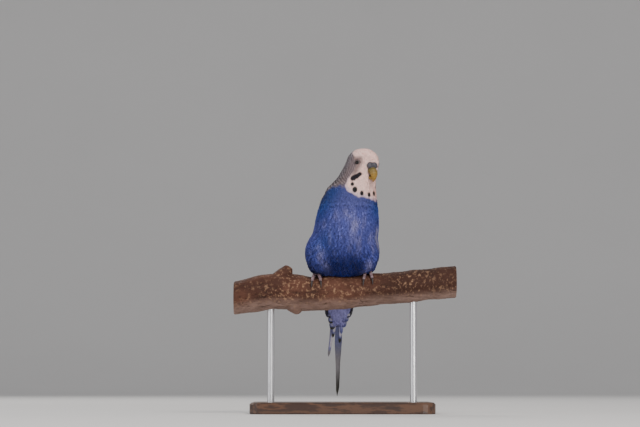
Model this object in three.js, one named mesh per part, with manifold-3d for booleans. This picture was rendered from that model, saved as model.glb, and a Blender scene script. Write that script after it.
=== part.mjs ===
// A perched budgerigar as a still, life-size model: blue body, white face, barred nape, folded wings and
// long tail, its feet round a short cut length of branch that two rods carry above a flat base.
// Millimetres, +Z up, the bird faces -Y. The origin is the middle of the base's underside. The bird and
// its branch are worked out with z = 0 at the top of the branch and lifted as they are added.
import * as THREE from "three";
import { mergeVertices } from "three/addons/utils/BufferGeometryUtils.js";
import Module from "manifold-3d";

const wasm = await Module();
wasm.setup();

// Driving dimensions
const GAP = 0.35; // clearance between touching nodes
const TAIL_DROP = 85; // from the top of the branch down to the tip of the tail
const TAIL_CLEARANCE = 4; // from the tip of the tail to the top of the base
const BASE = { width: 128, depth: 104, thick: 8, corner: 9, bevel: 1.2, y: 12 };
const ROD = { radius: 2.5, fit: 0.3, spread: 50, sinkBelow: 5, sinkAbove: 4, sides: 18 };
const HEAD_TURN = 34; // degrees towards the bird's left
const HEAD_MIDDLE = { x: 13.8, y: -13.9 };

const BODY = { top: 87.8, end: -35.4, sides: 32, step: 4.5, lowest: -33.2 };
const CROWN_STEPS = [0.7, 2.3, 4.8, 8.2]; // below the crown, where rings stand closer
const FLANK = { x: 15.4, y: -5.5, z: 15, wide: 10.2, deep: 12.5, high: 13.5 };

const EYE = { level: 77.1, angle: 55, radius: 2.2, sunk: 1.25, lidRadius: 2.3, lidThick: 0.55 };
const CERE = { out: 12.7, level: 75.1, apart: 1.9, wide: 2.4, high: 2.6, deep: 1.9 };
const NOSTRIL = { radius: 0.6, out: 14.55, apart: 2.05, level: 75.6 };

const FOOT = { x: 18, tarsus: 1.5, tarsusTop: 9, padLong: 2.7, padWide: 2.4, padHigh: 1.4 };
const TOE = { radius: 1.12, apart: 1.5, fan: 1.5, from: 14, to: 52, clear: 0.1, sides: 8 };
const TOE_WAY = { half: 4.9, room: 0.7 };
const CLAW = { gap: 1.8, to: 75, arch: 1.25, widest: 0.5, fan: 0.3, tipHeight: 0.7, sides: 6 };
const THIGH = { y: 0.5, z: 7.4, wide: 4.6, deep: 5.2, high: 5.6 };

const WING = { top: 54, tip: -29, carve: 2.4, margin: 6, soften: 9, rise: 8, bend: 0.35 };
const WING_CORE = { end: -6, clear: 0.35, rim: 1.2, swell: 0.4, rows: 10, columns: 6 };
const VANE = { thick: 0.55, tipThick: 0.4, step: 0.42, steepest: 0.3 };
const TAIL = { root: -24.5, layer: 0.44, packed: 0.62, dorsal: 2.5, bow: 0.25, roof: 0.14 };
const TAIL_ROOTS = { middle: -2, first: 0.6, apart: 0.85 };
const PERCH = { from: -76, to: 80, sides: 14, stations: 20 };

const perchTop = BASE.thick + TAIL_CLEARANCE + TAIL_DROP;
const radians = THREE.MathUtils.degToRad;
const { clamp, lerp, smoothstep } = THREE.MathUtils;
const vec = (x, y, z) => new THREE.Vector3(x, y, z);

const SIDES = [[1, "left"], [-1, "right"]];

// Sections of the body from the crown to the tail coverts. Each is an oval whose reach to the front and
// to the back differ: level, middle x and y, half width, reach forward, reach back, and turn in degrees.
const SECTIONS = [
  [BODY.top, 14.5, -15.4, 0, 0, 0, HEAD_TURN],
  [86.8, 14.5, -15.2, 4.9, 5.5, 5.3, HEAD_TURN],
  [84.6, 14.5, -14.9, 8.0, 9.1, 8.8, HEAD_TURN],
  [82, 14.4, -14.4, 9.8, 11.4, 10.9, HEAD_TURN],
  [79, 14.2, -14.0, 10.6, 12.5, 12.1, HEAD_TURN],
  [76, 13.5, -13.8, 11.2, 12.9, 13.0, HEAD_TURN],
  [72, 12.2, -13.6, 12.0, 13.2, 14.1, 33],
  [68, 10.6, -13.4, 12.9, 13.6, 15.2, 31],
  [64, 8.6, -13.0, 14.8, 14.3, 16.5, 28],
  [60, 6.7, -12.4, 17.0, 15.2, 17.6, 24],
  [55, 5.7, -11.2, 18.4, 16.8, 18.4, 19],
  [50, 4.7, -9.8, 19.9, 18.8, 19.0, 15],
  [44, 3.9, -8.2, 21.1, 21.0, 19.8, 11],
  [37, 3.4, -6.4, 22.0, 23.0, 20.2, 8],
  [30, 2.6, -4.2, 22.6, 24.0, 20.2, 6],
  [23, 1.6, -1.6, 23.0, 24.2, 20.0, 5],
  [16, 0.8, 1.4, 23.2, 23.6, 19.4, 5],
  [9, 0.2, 4.8, 22.8, 21.8, 18.4, 5],
  [3, 0, 8.2, 20.8, 19.2, 16.8, 5],
  [-3, -0.4, 12.4, 17.2, 15.8, 14.6, 4],
  [-9, -0.8, 16.8, 13.8, 12.6, 12.2, 4],
  [-15, -1.3, 21.0, 11.0, 9.9, 10.0, 3],
  [-21, -1.7, 25.0, 8.6, 7.8, 7.4, 3],
  [-26, -2.0, 28.2, 6.6, 5.6, 5.0, 3],
  [-31, -2.2, 31.2, 4.0, 3.3, 2.7, 3],
  [BODY.end, -2.3, 33.6, 0, 0, 0, 3],
];

// The wing's two long edges, as angles round the body from its front, by level.
const WING_EDGES = [
  [56, 94, 120],
  [48, 91, 136],
  [40, 91, 147],
  [30, 93, 157],
  [20, 97, 165],
  [10, 103, 170],
  [0, 110, 172],
  [-15, 114, 168],
  [-30, 112, 150],
];

// The branch's middle line by x: height, place in y, and radius.
const PERCH_LINE = [
  [-80, -16.4, 1.5, 11.6],
  [-48, -11.6, 0.6, 12.8],
  [-21, -12.8, 0, 12.2],
  [-6, -12.2, 0, 11.7],
  [4, -12.4, 0, 11.4],
  [21, -10.2, 0, 11.2],
  [45, -8.0, -0.6, 11.2],
  [84, -4.6, -1.6, 11.1],
];
// Stubs of cut twigs: place along the branch, turn round it from its top and lean towards +X in degrees,
// length outside the bark, half widths at the root and the tip.
const KNOTS = [
  { x: -42, turn: -6, lean: 30, long: 5.4, root: 6.6, tip: 2.6 },
  { x: -32.5, turn: 172, lean: 10, long: 2.8, root: 7.6, tip: 1.4 },
];
const KNOT = { sunk: 4, cap: 0.5, sides: 8, swell: [1.2, 0.72, 0] };

// Thin cuts that part the body: level and y of a point on each, and its tilt about X in degrees.
const CUTS = [
  { z: 64.5, y: -13, tilt: -14 },
  { z: 50.5, y: -10, tilt: -8 },
  { z: -3, y: 14, tilt: 34 },
  { z: -21.5, y: 25, tilt: 34 },
];

// Along a feather from root to tip: share of its length, of its width and of its thickness
const LONG_VANE = [[0, 0.5, 1], [0.4, 0.95, 1], [0.82, 1, 1], [0.96, 0.6, 0.85]];
const SHORT_VANE = [[0, 0.55, 1], [0.6, 1, 1], [0.92, 0.68, 0.85]];
const POINTED_VANE = [[0, 0.62, 1], [0.36, 1, 1], [0.62, 0.58, 1], [0.93, 0.38, 0.85]];

// Rows of wing feathers from the lowest layer up. Places on the wing are [along, across], from the
// shoulder to the wing's tip and from its front edge to the edge on the back; the first and the last
// feather of each row are given, the others share out the way between. Heights are above the seat, at
// the root, at the bend and at the tip, and a lift raises the tips of the first and the last.
const WING_ROWS = [
  {
    name: "flight feathers of the hand",
    shape: LONG_VANE,
    count: 6,
    roots: [[0.42, 0.1], [0.42, 0.78]],
    tips: [[1.0, 0.24], [0.79, 0.8]],
    half: [2.3, 2.5],
    heights: [0.8, 1.25, 1.3],
    lift: [2.6, 0],
  },
  {
    name: "flight feathers of the arm",
    shape: SHORT_VANE,
    count: 6,
    roots: [[0.3, 0.12], [0.26, 0.82]],
    tips: [[0.66, 0.14], [0.75, 0.84]],
    half: [2.2, 2.9],
    heights: [0.8, 1.45, 1.8],
  },
  {
    name: "greater coverts",
    shape: SHORT_VANE,
    count: 6,
    roots: [[0.2, 0.12], [0.17, 0.84]],
    tips: [[0.46, 0.1], [0.5, 0.86]],
    half: [2.2, 2.8],
    heights: [0.8, 1.6, 2.3],
  },
  {
    name: "median coverts",
    shape: SHORT_VANE,
    count: 5,
    roots: [[0.12, 0.14], [0.1, 0.8]],
    tips: [[0.32, 0.1], [0.35, 0.86]],
    half: [2.3, 2.8],
    heights: [0.8, 1.6, 2.4],
  },
  {
    name: "lesser coverts",
    shape: SHORT_VANE,
    count: 4,
    roots: [[0.05, 0.2], [0.05, 0.72]],
    tips: [[0.19, 0.14], [0.21, 0.84]],
    half: [2.2, 2.6],
    heights: [0.8, 1.5, 2.2],
  },
];

// The tail's slope: y of its middle by level
const TAIL_LINE = [
  [-18, 24.6],
  [-26, 29.6],
  [-40, 35.4],
  [-54, 40.6],
  [-68, 45.6],
  [-TAIL_DROP, 50],
];
// Tail feathers from the longest pair to the shortest: x and level of the tip, on either side, half width.
const TAIL_FEATHERS = [
  { left: [-2.5, -82.5], right: [-3.1, -TAIL_DROP], half: 2.2 },
  { left: [-1.4, -47], right: [-9.4, -56.7], half: 2.3 },
  { left: [-0.2, -40.5], right: [-6.2, -43], half: 2.4 },
  { left: [1.4, -36], right: [-6.9, -37.5], half: 2.4 },
  { left: [3.0, -32], right: [-7.8, -33], half: 2.4 },
  { left: [4.4, -29], right: [-8.8, -29], half: 2.2 },
];

// A smooth curve through one column of a table with its levels in the first. With squared, the squares
// are what is joined, so that a section shrinks to its pole as a ball does.
function curveAt(rows, column, at, squared = false) {
  const down = rows[0][0] > rows[1][0] ? -1 : 1;
  let i = 0;
  while (i < rows.length - 2 && (at - rows[i + 1][0]) * down > 0) i++;
  const value = (k) => (squared ? rows[k][column] ** 2 : rows[k][column]);
  const slope = (k) => {
    const before = Math.max(k - 1, 0);
    const after = Math.min(k + 1, rows.length - 1);
    return (value(after) - value(before)) / (rows[after][0] - rows[before][0]);
  };
  const span = rows[i + 1][0] - rows[i][0];
  const t = clamp((at - rows[i][0]) / span, 0, 1);
  const bend = t * (1 - t) * span * (slope(i) * (1 - t) - slope(i + 1) * t);
  const straight = lerp(value(i), value(i + 1), t * t * (3 - 2 * t));
  return squared ? Math.sqrt(Math.max(straight + bend, 0)) : straight + bend;
}

// How deep the body is sunk for a wing at this level and angle.
function wingSeat(z, angle) {
  const side = Math.abs(angle);
  const [fore, aft] = [curveAt(WING_EDGES, 1, z), curveAt(WING_EDGES, 2, z)];
  const [start, end] = [fore - WING.margin, aft + WING.margin];
  const behind = smoothstep(side, start - WING.soften, start);
  const before = 1 - smoothstep(side, end, end + WING.soften);
  const below = 1 - smoothstep(z, WING.top + 2, WING.top + 2 + WING.rise);
  const above = smoothstep(z, WING.tip, WING.tip + 2 * WING.rise);
  return WING.carve * behind * before * below * above;
}

// A point of the body: level, angle in degrees from its front towards its left, and height above it.
function bodyPoint(z, angle, height = 0, seat = true) {
  const a = radians(angle);
  const turn = radians(curveAt(SECTIONS, 6, z));
  const lift = height - (seat ? wingSeat(z, angle) : 0);
  const sideways = (curveAt(SECTIONS, 3, z, true) + lift) * Math.sin(a);
  const reach = curveAt(SECTIONS, Math.cos(a) > 0 ? 4 : 5, z, true);
  const forward = (reach + lift) * Math.cos(a);
  return vec(
    curveAt(SECTIONS, 1, z) + sideways * Math.cos(turn) + forward * Math.sin(turn),
    curveAt(SECTIONS, 2, z) + sideways * Math.sin(turn) - forward * Math.cos(turn),
    z,
  );
}

// A point placed from the middle of the head: forward, to its left, and level.
function headPoint(forward, left, z) {
  const turn = radians(HEAD_TURN);
  return vec(
    HEAD_MIDDLE.x + forward * Math.sin(turn) + left * Math.cos(turn),
    HEAD_MIDDLE.y - forward * Math.cos(turn) + left * Math.sin(turn),
    z,
  );
}

// A closed body over rings of as many points each, with a fan to a tip at both ends. Opposite sides of a
// ring are split along like diagonals, so that the two faces of a thin strip bend alike.
function bodyOver(rings, firstTip, lastTip) {
  const sides = rings[0].length;
  const points = [...rings.flat(), firstTip, lastTip];
  const index = [];
  const at = (i, k) => i * sides + (k % sides);
  for (let i = 0; i < rings.length - 1; i++) {
    for (let k = 0; k < sides; k++) {
      const corners = [at(i, k), at(i, k + 1), at(i + 1, k + 1), at(i + 1, k)];
      const [a, b, c, d] = k < sides / 2 ? corners : [...corners.slice(1), corners[0]];
      index.push(a, b, c, a, c, d);
    }
  }
  for (let k = 0; k < sides; k++) {
    const last = rings.length - 1;
    index.push(at(0, k + 1), at(0, k), rings.length * sides);
    index.push(at(last, k), at(last, k + 1), rings.length * sides + 1);
  }
  const geometry = new THREE.BufferGeometry();
  const places = points.flatMap((p) => [p.x, p.y, p.z]);
  geometry.setAttribute("position", new THREE.Float32BufferAttribute(places, 3));
  geometry.setIndex(index);
  return solidOf(facingOut(geometry));
}

const middleOf = (ring) => ring.reduce((sum, p) => sum.add(p), vec(0, 0, 0)).divideScalar(ring.length);
const flatEnded = (rings) => bodyOver(rings, middleOf(rings[0]), middleOf(rings[rings.length - 1]));

function facingOut(geometry) {
  const position = geometry.attributes.position;
  const index = geometry.index.array;
  const [a, b, c] = [vec(), vec(), vec()];
  let volume = 0;
  for (let i = 0; i < index.length; i += 3) {
    a.fromBufferAttribute(position, index[i]);
    b.fromBufferAttribute(position, index[i + 1]);
    c.fromBufferAttribute(position, index[i + 2]);
    volume += a.dot(b.cross(c));
  }
  if (volume < 0) {
    for (let i = 0; i < index.length; i += 3) [index[i], index[i + 1]] = [index[i + 1], index[i]];
  }
  return geometry;
}

function solidOf(source) {
  const plain = source.clone();
  plain.deleteAttribute("normal");
  plain.deleteAttribute("uv");
  const merged = mergeVertices(plain, 1e-5);
  const vertProperties = new Float32Array(merged.attributes.position.array);
  const triVerts = new Uint32Array(merged.index.array);
  return new wasm.Manifold(new wasm.Mesh({ numProp: 3, vertProperties, triVerts }));
}

const joined = (solids) => solids.reduce((sum, solid) => sum.add(solid));
const larger = (one, other) => (other.volume() > one.volume() ? other : one);
const largestOf = (solid) => solid.decompose().reduce((best, piece) => larger(best, piece));

// An egg-shaped solid: middle, half sizes and turn about the vertical.
function egg(middle, size, turn = 0, across = 20, down = 12) {
  const geometry = new THREE.SphereGeometry(1, across, down);
  geometry.scale(size.x, size.y, size.z);
  geometry.rotateZ(radians(turn));
  geometry.translate(middle.x, middle.y, middle.z);
  return solidOf(geometry);
}

// A tapering round form along points, each with its half width and half depth; side is its flat-lying
// direction. It ends in a point.
function horn(stations, side, sides, tip) {
  const rings = stations.map(({ at, wide, deep }, i) => {
    const before = stations[Math.max(i - 1, 0)].at;
    const after = i < stations.length - 1 ? stations[i + 1].at : tip;
    const along = after.clone().sub(before).normalize();
    const up = along.clone().cross(side).normalize();
    return Array.from({ length: sides }, (_, k) => {
      const a = (k / sides) * 2 * Math.PI;
      return at.clone().addScaledVector(side, wide * Math.cos(a)).addScaledVector(up, deep * Math.sin(a));
    });
  });
  return bodyOver(rings, middleOf(rings[0]), tip);
}

// A point of the branch, whose bark ripples a little: x, angle from its top and height above the bark
function perchPoint(x, angle, height = 0) {
  const a = radians(angle);
  const round = 0.28 * Math.sin(3 * a + x * 0.11) + 0.22 * Math.sin(2 * a - x * 0.23);
  const reach = curveAt(PERCH_LINE, 3, x) + round + 0.15 * Math.sin(x * 0.4) + height;
  const [y, z] = [curveAt(PERCH_LINE, 2, x), curveAt(PERCH_LINE, 1, x)];
  return vec(x, y - reach * Math.sin(a), z + reach * Math.cos(a));
}

function perchSolid(grow) {
  const rings = [];
  for (let i = 0; i <= PERCH.stations; i++) {
    const x = lerp(PERCH.from - grow, PERCH.to + grow, i / PERCH.stations);
    const at = (k) => perchPoint(x, (k / PERCH.sides) * 360, grow);
    rings.push(Array.from({ length: PERCH.sides }, (_, k) => at(k)));
  }
  return flatEnded(rings);
}

function knotSolid({ x, turn, lean, long, root, tip }) {
  const out = perchPoint(x, turn, 0).sub(perchPoint(x, turn, -1)).normalize();
  const axis = out.clone().addScaledVector(vec(1, 0, 0), Math.tan(radians(lean))).normalize();
  const start = perchPoint(x, turn, -KNOT.sunk);
  const stations = KNOT.swell.map((swell, i) => ({
    at: start.clone().addScaledVector(axis, (i / 2) * (long + KNOT.sunk)),
    wide: lerp(tip, root, swell),
    deep: lerp(tip, root, swell),
  }));
  const end = start.clone().addScaledVector(axis, long + KNOT.sunk + KNOT.cap);
  const side = axis.clone().cross(vec(0, 1, 0)).normalize();
  return horn(stations, side, KNOT.sides, end);
}

// The whole trunk of the bird, before it is parted
function trunkSolid(grow) {
  const levels = CROWN_STEPS.map((step) => BODY.top - step);
  const first = levels[levels.length - 1] - BODY.step;
  for (let z = first; z > BODY.lowest; z -= BODY.step) levels.push(z);
  levels.push(BODY.lowest);
  const rings = levels.map((z) =>
    Array.from({ length: BODY.sides }, (_, k) => bodyPoint(z, (k / BODY.sides) * 360 - 180, grow)),
  );
  const crown = bodyPoint(BODY.top, 0).setZ(BODY.top + grow);
  return bodyOver(rings, crown, bodyPoint(BODY.end, 0).setZ(BODY.end - grow));
}

function flankLobe(side, grow) {
  const size = vec(FLANK.wide + grow, FLANK.deep + grow, FLANK.high + grow);
  return egg(vec(side * FLANK.x, FLANK.y, FLANK.z), size, side * -8, 14, 9);
}

function thighSolid(side, grow) {
  const size = vec(THIGH.wide + grow, THIGH.deep + grow, THIGH.high + grow);
  return egg(vec(side * FOOT.x, THIGH.y, THIGH.z), size, 0, 12, 8);
}

// Half of space below a cut, less half the gap, or above it
function cutBox({ z, y, tilt }, below) {
  const reach = 150;
  const geometry = new THREE.BoxGeometry(2 * reach, 2 * reach, 2 * reach);
  geometry.translate(0, 0, (below ? -1 : 1) * (reach + GAP / 2));
  geometry.rotateX(radians(tilt));
  geometry.translate(0, y, z);
  return solidOf(geometry);
}

// The head's own parts
const eyeMiddle = (side) => {
  const surface = bodyPoint(EYE.level, side * EYE.angle);
  const inward = bodyPoint(EYE.level, side * EYE.angle, -EYE.sunk);
  return surface.add(inward.sub(surface).setLength(EYE.sunk));
};
const eyeBall = (side, grow) => {
  const radius = EYE.radius + grow;
  return egg(eyeMiddle(side), vec(radius, radius, radius), 0, 14, 8);
};

function lidRing(side) {
  const geometry = new THREE.TorusGeometry(EYE.lidRadius, EYE.lidThick, 4, 14);
  const surface = bodyPoint(EYE.level, side * EYE.angle);
  const out = surface.clone().sub(eyeMiddle(side)).normalize();
  geometry.scale(1.06, 0.96, 1);
  geometry.applyQuaternion(new THREE.Quaternion().setFromUnitVectors(vec(0, 0, 1), out));
  geometry.translate(surface.x, surface.y, surface.z);
  return solidOf(geometry);
}

function cereSolid(grow) {
  const half = (side) => {
    const size = vec(CERE.wide + grow, CERE.deep + grow, CERE.high + grow);
    return egg(headPoint(CERE.out, side * CERE.apart, CERE.level), size, HEAD_TURN, 10, 7);
  };
  return half(1).add(half(-1));
}
const nostril = (side) => {
  const at = headPoint(NOSTRIL.out, side * NOSTRIL.apart, NOSTRIL.level);
  return egg(at, vec(NOSTRIL.radius, NOSTRIL.radius, NOSTRIL.radius), 0, 8, 6);
};

// Bill profiles in the head's middle plane: forward, level, half width, half depth; the last is the tip.
const UPPER_BILL = [
  [10.4, 72.0, 2.8, 2.2],
  [12.5, 71.7, 3.1, 2.6],
  [13.9, 70.5, 3.05, 2.5],
  [14.6, 68.8, 2.7, 2.1],
  [14.7, 67.1, 2.1, 1.55],
  [14.3, 65.5, 1.4, 1.0],
  [13.8, 64.4, 0.8, 0.6],
  [13.4, 63.6],
];
const LOWER_BILL = [
  [9.4, 67.4, 2.2, 1.6],
  [11.0, 67.0, 2.3, 1.6],
  [12.2, 66.5, 2.1, 1.4],
  [13.0, 66.0, 1.5, 1.0],
  [13.6, 65.6],
];
function billSolid(profile, grow) {
  const left = headPoint(0, 1, 0).sub(headPoint(0, 0, 0));
  const stations = profile.slice(0, -1).map(([out, z, wide, deep], i) => ({
    at: headPoint(i > 0 ? out : out - grow, 0, z),
    wide: wide + grow,
    deep: deep + grow,
  }));
  const [tipOut, tipLevel] = profile[profile.length - 1];
  return horn(stations, left, 14, headPoint(tipOut, 0, tipLevel - grow));
}

// A toe or claw lies round the branch at a steady height above its bark.
function roundBranch(x, drift, angles, sizes, height, tipAngle, tipHeight, sides) {
  const place = (angle, up, t) => perchPoint(x + drift * t, angle, up);
  const stations = angles.map((angle, i) => ({
    at: place(angle, height(sizes[i]), i / angles.length),
    wide: sizes[i],
    deep: sizes[i],
  }));
  return horn(stations, vec(1, 0, 0), sides, place(tipAngle, tipHeight, 1));
}

const TOE_SWELL = [0.9, 1.06, 0.92, 1.02, 0.86, 0.94, 0.72];
const CLAW_SIZES = [0.72, 0.6, 0.44, 0.26];
function toeSolid(x, way, drift) {
  const angles = TOE_SWELL.map((_, i) => way * lerp(TOE.from, TOE.to - 2, i / (TOE_SWELL.length - 1)));
  const sizes = TOE_SWELL.map((swell) => swell * TOE.radius);
  const height = (size) => size + GAP + TOE.clear;
  return roundBranch(x, drift, angles, sizes, height, way * TOE.to, TOE.radius, TOE.sides);
}
function clawSolid(x, way, drift) {
  const first = TOE.to + CLAW.gap;
  const last = CLAW_SIZES.length - 1;
  const angles = CLAW_SIZES.map((_, i) => way * lerp(first, CLAW.to - 3, i / last));
  const height = (size) => size + CLAW.arch - Math.abs(size - CLAW.widest);
  return roundBranch(x, drift, angles, CLAW_SIZES, height, way * CLAW.to, CLAW.tipHeight, CLAW.sides);
}

// The room that the belly leaves over the toes: a short length of a thicker branch
function toeWay(side) {
  const rings = [];
  for (let i = 0; i <= 2; i++) {
    const x = side * FOOT.x + lerp(-TOE_WAY.half, TOE_WAY.half, i / 2);
    const height = 2 * (TOE.radius + GAP) + TOE_WAY.room;
    const at = (k) => perchPoint(x, (k / PERCH.sides) * 360, height);
    rings.push(Array.from({ length: PERCH.sides }, (_, k) => at(k)));
  }
  return flatEnded(rings);
}

function footSolid(side, grow) {
  const x = side * FOOT.x;
  const top = perchPoint(x, 0, 0);
  const padSize = vec(FOOT.padWide + grow, FOOT.padLong + grow, FOOT.padHigh + grow);
  const pad = egg(top.clone().add(vec(0, 0, FOOT.padHigh + GAP)), padSize, 0, 12, 8);
  const heights = [FOOT.padHigh, 5, FOOT.tarsusTop + grow];
  const stations = heights.map((z, i) => ({
    at: vec(x, (THIGH.y * i) / 2, top.z + z),
    wide: FOOT.tarsus + grow,
    deep: FOOT.tarsus + grow,
  }));
  return pad.add(horn(stations, vec(1, 0, 0), 10, vec(x, THIGH.y, top.z + FOOT.tarsusTop + 0.6 + grow)));
}

// A feather: a flat strip along a path of places, each with its point, its direction across and its
// outward normal, as wide and thick as the shape above says.
function vaneSolid(placeAt, half, shape) {
  const ring = ([t, width, thickness]) => {
    const { point, across, out } = placeAt(t);
    const [w, h] = [half * width, Math.max(VANE.thick * thickness, VANE.tipThick)];
    return [[-w, 0], [w, 0], [w, h], [-w, h]].map(([side, up]) =>
      point.clone().addScaledVector(across, side).addScaledVector(out, up),
    );
  };
  const rings = shape.map(ring);
  const end = placeAt(1);
  return bodyOver(rings, middleOf(rings[0]), end.point.addScaledVector(end.out, VANE.tipThick / 2));
}

// A place on the wing, with directions: along and across as in the rows above, and tilt is how steeply
// a feather's front edge stands up over its neighbour.
function wingPlace(side, along, across, height, tilt) {
  const at = (u, v, h) => {
    const z = lerp(WING.top, WING.tip, u);
    const angle = lerp(curveAt(WING_EDGES, 1, z), curveAt(WING_EDGES, 2, z), v);
    return bodyPoint(z, side * angle, h);
  };
  const point = at(along, across, height);
  const down = at(along + 0.01, across, height).sub(point).normalize();
  const level = at(along, across + 0.02, height).sub(at(along, across - 0.02, height));
  const spacing = level.length() / 0.04;
  level.addScaledVector(down, -level.dot(down)).normalize();
  const out = down.clone().cross(level).multiplyScalar(side).normalize();
  const slope = Math.atan(Math.min(tilt / spacing, VANE.steepest));
  const leaning = level.clone().multiplyScalar(Math.cos(slope)).addScaledVector(out, -Math.sin(slope));
  const upright = out.clone().multiplyScalar(Math.cos(slope)).addScaledVector(level, Math.sin(slope));
  return { point, across: leaning, out: upright };
}

function bentRise([root, middle, tip], t) {
  if (t < WING.bend) return lerp(root, middle, t / WING.bend);
  return lerp(middle, tip, (t - WING.bend) / (1 - WING.bend));
}

function wingFeathers(side) {
  const solids = [];
  for (const { count, shape, roots, tips, half, heights, lift = [0, 0] } of WING_ROWS) {
    for (let k = 0; k < count; k++) {
      const share = k / (count - 1);
      const mix = ([first, last]) => [lerp(first[0], last[0], share), lerp(first[1], last[1], share)];
      const [root, tip] = [mix(roots), mix(tips)];
      const placeAt = (t) => {
        const height = bentRise(heights, t) + lerp(lift[0], lift[1], share) * t * t;
        const spread = lerp(roots[1][1] - roots[0][1], tips[1][1] - tips[0][1], t) / (count - 1);
        const [along, across] = [lerp(root[0], tip[0], t), lerp(root[1], tip[1], t)];
        return wingPlace(side, along, across, height, VANE.step / spread);
      };
      solids.push(vaneSolid(placeAt, lerp(half[0], half[1], share), shape));
    }
  }
  return joined(solids);
}

function tailFeathers() {
  const solids = [];
  TAIL_FEATHERS.forEach((feather, rank) => {
    for (const [side, word] of SIDES) {
      const [tipX, tipZ] = feather[word];
      const rootX = TAIL_ROOTS.middle + side * (TAIL_ROOTS.first + rank * TAIL_ROOTS.apart);
      const under = (2 * rank + (side > 0 ? 0 : 1)) * (rank > 0 ? TAIL.packed : 1);
      const layer = TAIL.dorsal - TAIL.layer * under;
      const placeAt = (t) => {
        const z = lerp(TAIL.root, tipZ, t);
        const lean = curveAt(TAIL_LINE, 1, z - 0.5) - curveAt(TAIL_LINE, 1, z + 0.5);
        const x = lerp(rootX, tipX, t * (1 + TAIL.bow * (1 - t)));
        const down = vec(0, lean, -1).normalize();
        const back = vec(side * TAIL.roof, 1, 0).addScaledVector(down, -down.y).normalize();
        const across = down.clone().cross(back).normalize();
        return { point: vec(x, curveAt(TAIL_LINE, 1, z) + layer, z), across, out: back };
      };
      solids.push(vaneSolid(placeAt, feather.half, rank < 3 ? POINTED_VANE : SHORT_VANE));
    }
  });
  return joined(solids);
}

// The wing's core: a shell over the seat, from the shoulder down
function wingCore(side, top, end) {
  const { rows, columns } = WING_CORE;
  const rings = [];
  for (let i = 0; i <= rows; i++) {
    const z = lerp(top, end, i / rows);
    const [fore, aft] = [curveAt(WING_EDGES, 1, z), curveAt(WING_EDGES, 2, z)];
    const outer = [];
    const under = [];
    for (let j = 0; j <= columns; j++) {
      const angle = lerp(fore, aft, j / columns);
      const rim = Math.min(j, columns - j, i * 0.7) / columns;
      const height = WING_CORE.rim + WING_CORE.swell * smoothstep(rim, 0, 0.3);
      outer.push(bodyPoint(z, side * angle, height));
      under.push(bodyPoint(z, side * angle, GAP + WING_CORE.clear));
    }
    rings.push([...outer, ...under.reverse()]);
  }
  return flatEnded(rings);
}

// The stand
function roundedSlab({ width, depth, thick, corner, bevel }) {
  const outline = (inset) => {
    const ring = [];
    for (let k = 0; k < 4; k++) {
      const [sx, sy] = [[1, 1], [-1, 1], [-1, -1], [1, -1]][k];
      for (let j = 0; j <= 4; j++) {
        const a = radians(k * 90 + j * 22.5);
        const cx = sx * (width / 2 - corner);
        const cy = sy * (depth / 2 - corner);
        ring.push([cx + (corner - inset) * Math.cos(a), cy + (corner - inset) * Math.sin(a)]);
      }
    }
    return ring;
  };
  const levels = [[0, 0.6], [0.6, 0], [thick - bevel, 0], [thick, bevel]];
  return flatEnded(levels.map(([z, inset]) => outline(inset).map(([x, y]) => vec(x, y, z))));
}

function rodSolid(side, grow) {
  const x = side * ROD.spread;
  const under = perchPoint(x, 180, 0);
  const low = BASE.thick - ROD.sinkBelow - grow;
  const high = perchTop + under.z + ROD.sinkAbove + grow;
  const radius = ROD.radius + grow;
  const geometry = new THREE.CylinderGeometry(radius, radius, high - low, ROD.sides);
  geometry.rotateX(Math.PI / 2);
  geometry.translate(x, under.y, (low + high) / 2);
  return solidOf(geometry);
}

// Putting it together
const model = new THREE.Group();

function addNode(name, solid, color, roughness, metalness = 0) {
  const mesh = largestOf(solid).getMesh();
  const geometry = new THREE.BufferGeometry();
  geometry.setAttribute("position", new THREE.Float32BufferAttribute(mesh.vertProperties, 3));
  geometry.setIndex(new THREE.Uint32BufferAttribute(mesh.triVerts, 1));
  geometry.computeVertexNormals();
  const node = new THREE.Mesh(geometry, new THREE.MeshStandardMaterial({ color, roughness, metalness }));
  node.name = name;
  model.add(node);
}
const lifted = (solid) => solid.translate([0, 0, perchTop]);
const addBirdNode = (name, solid, color, roughness) => addNode(name, lifted(solid), color, roughness);

const TOES = [];
for (const [side, word] of SIDES) {
  for (const [place, way] of [["front", 1], ["back", -1]]) {
    for (const [rank, out] of [["inner", -1], ["outer", 1]]) {
      const x = side * (FOOT.x + out * TOE.apart);
      TOES.push({ name: `${word}_${place}_${rank}`, x, way, drift: side * out * TOE.fan });
    }
  }
}
const perchGrown = perchSolid(GAP);
const toeWays = toeWay(1).add(toeWay(-1));
const trunkGrown = joined([trunkSolid(GAP), flankLobe(1, GAP), flankLobe(-1, GAP)]);

let trunk = joined([trunkSolid(0), flankLobe(1, 0), flankLobe(-1, 0), tailFeathers()]).subtract(perchGrown);
for (const [side] of SIDES) {
  trunk = trunk.add(lidRing(side)).subtract(eyeBall(side, GAP));
  trunk = trunk.subtract(thighSolid(side, GAP)).subtract(footSolid(side, GAP));
}
for (const profile of [UPPER_BILL, LOWER_BILL]) trunk = trunk.subtract(billSolid(profile, GAP));
trunk = trunk.subtract(cereSolid(GAP)).subtract(toeWays);

const BODY_PARTS = [
  ["head", 0xe8e2e0],
  ["neck", 0xb9b4bd],
  ["torso", 0x3a4fa8],
  ["rump", 0x2c47b0],
  ["tail", 0x2b2f3a],
];
BODY_PARTS.forEach(([name, color], i) => {
  let part = trunk;
  if (i > 0) part = part.intersect(cutBox(CUTS[i - 1], true));
  if (i < CUTS.length) part = part.intersect(cutBox(CUTS[i], false));
  addBirdNode(name, part, color, 0.85);
});

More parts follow.
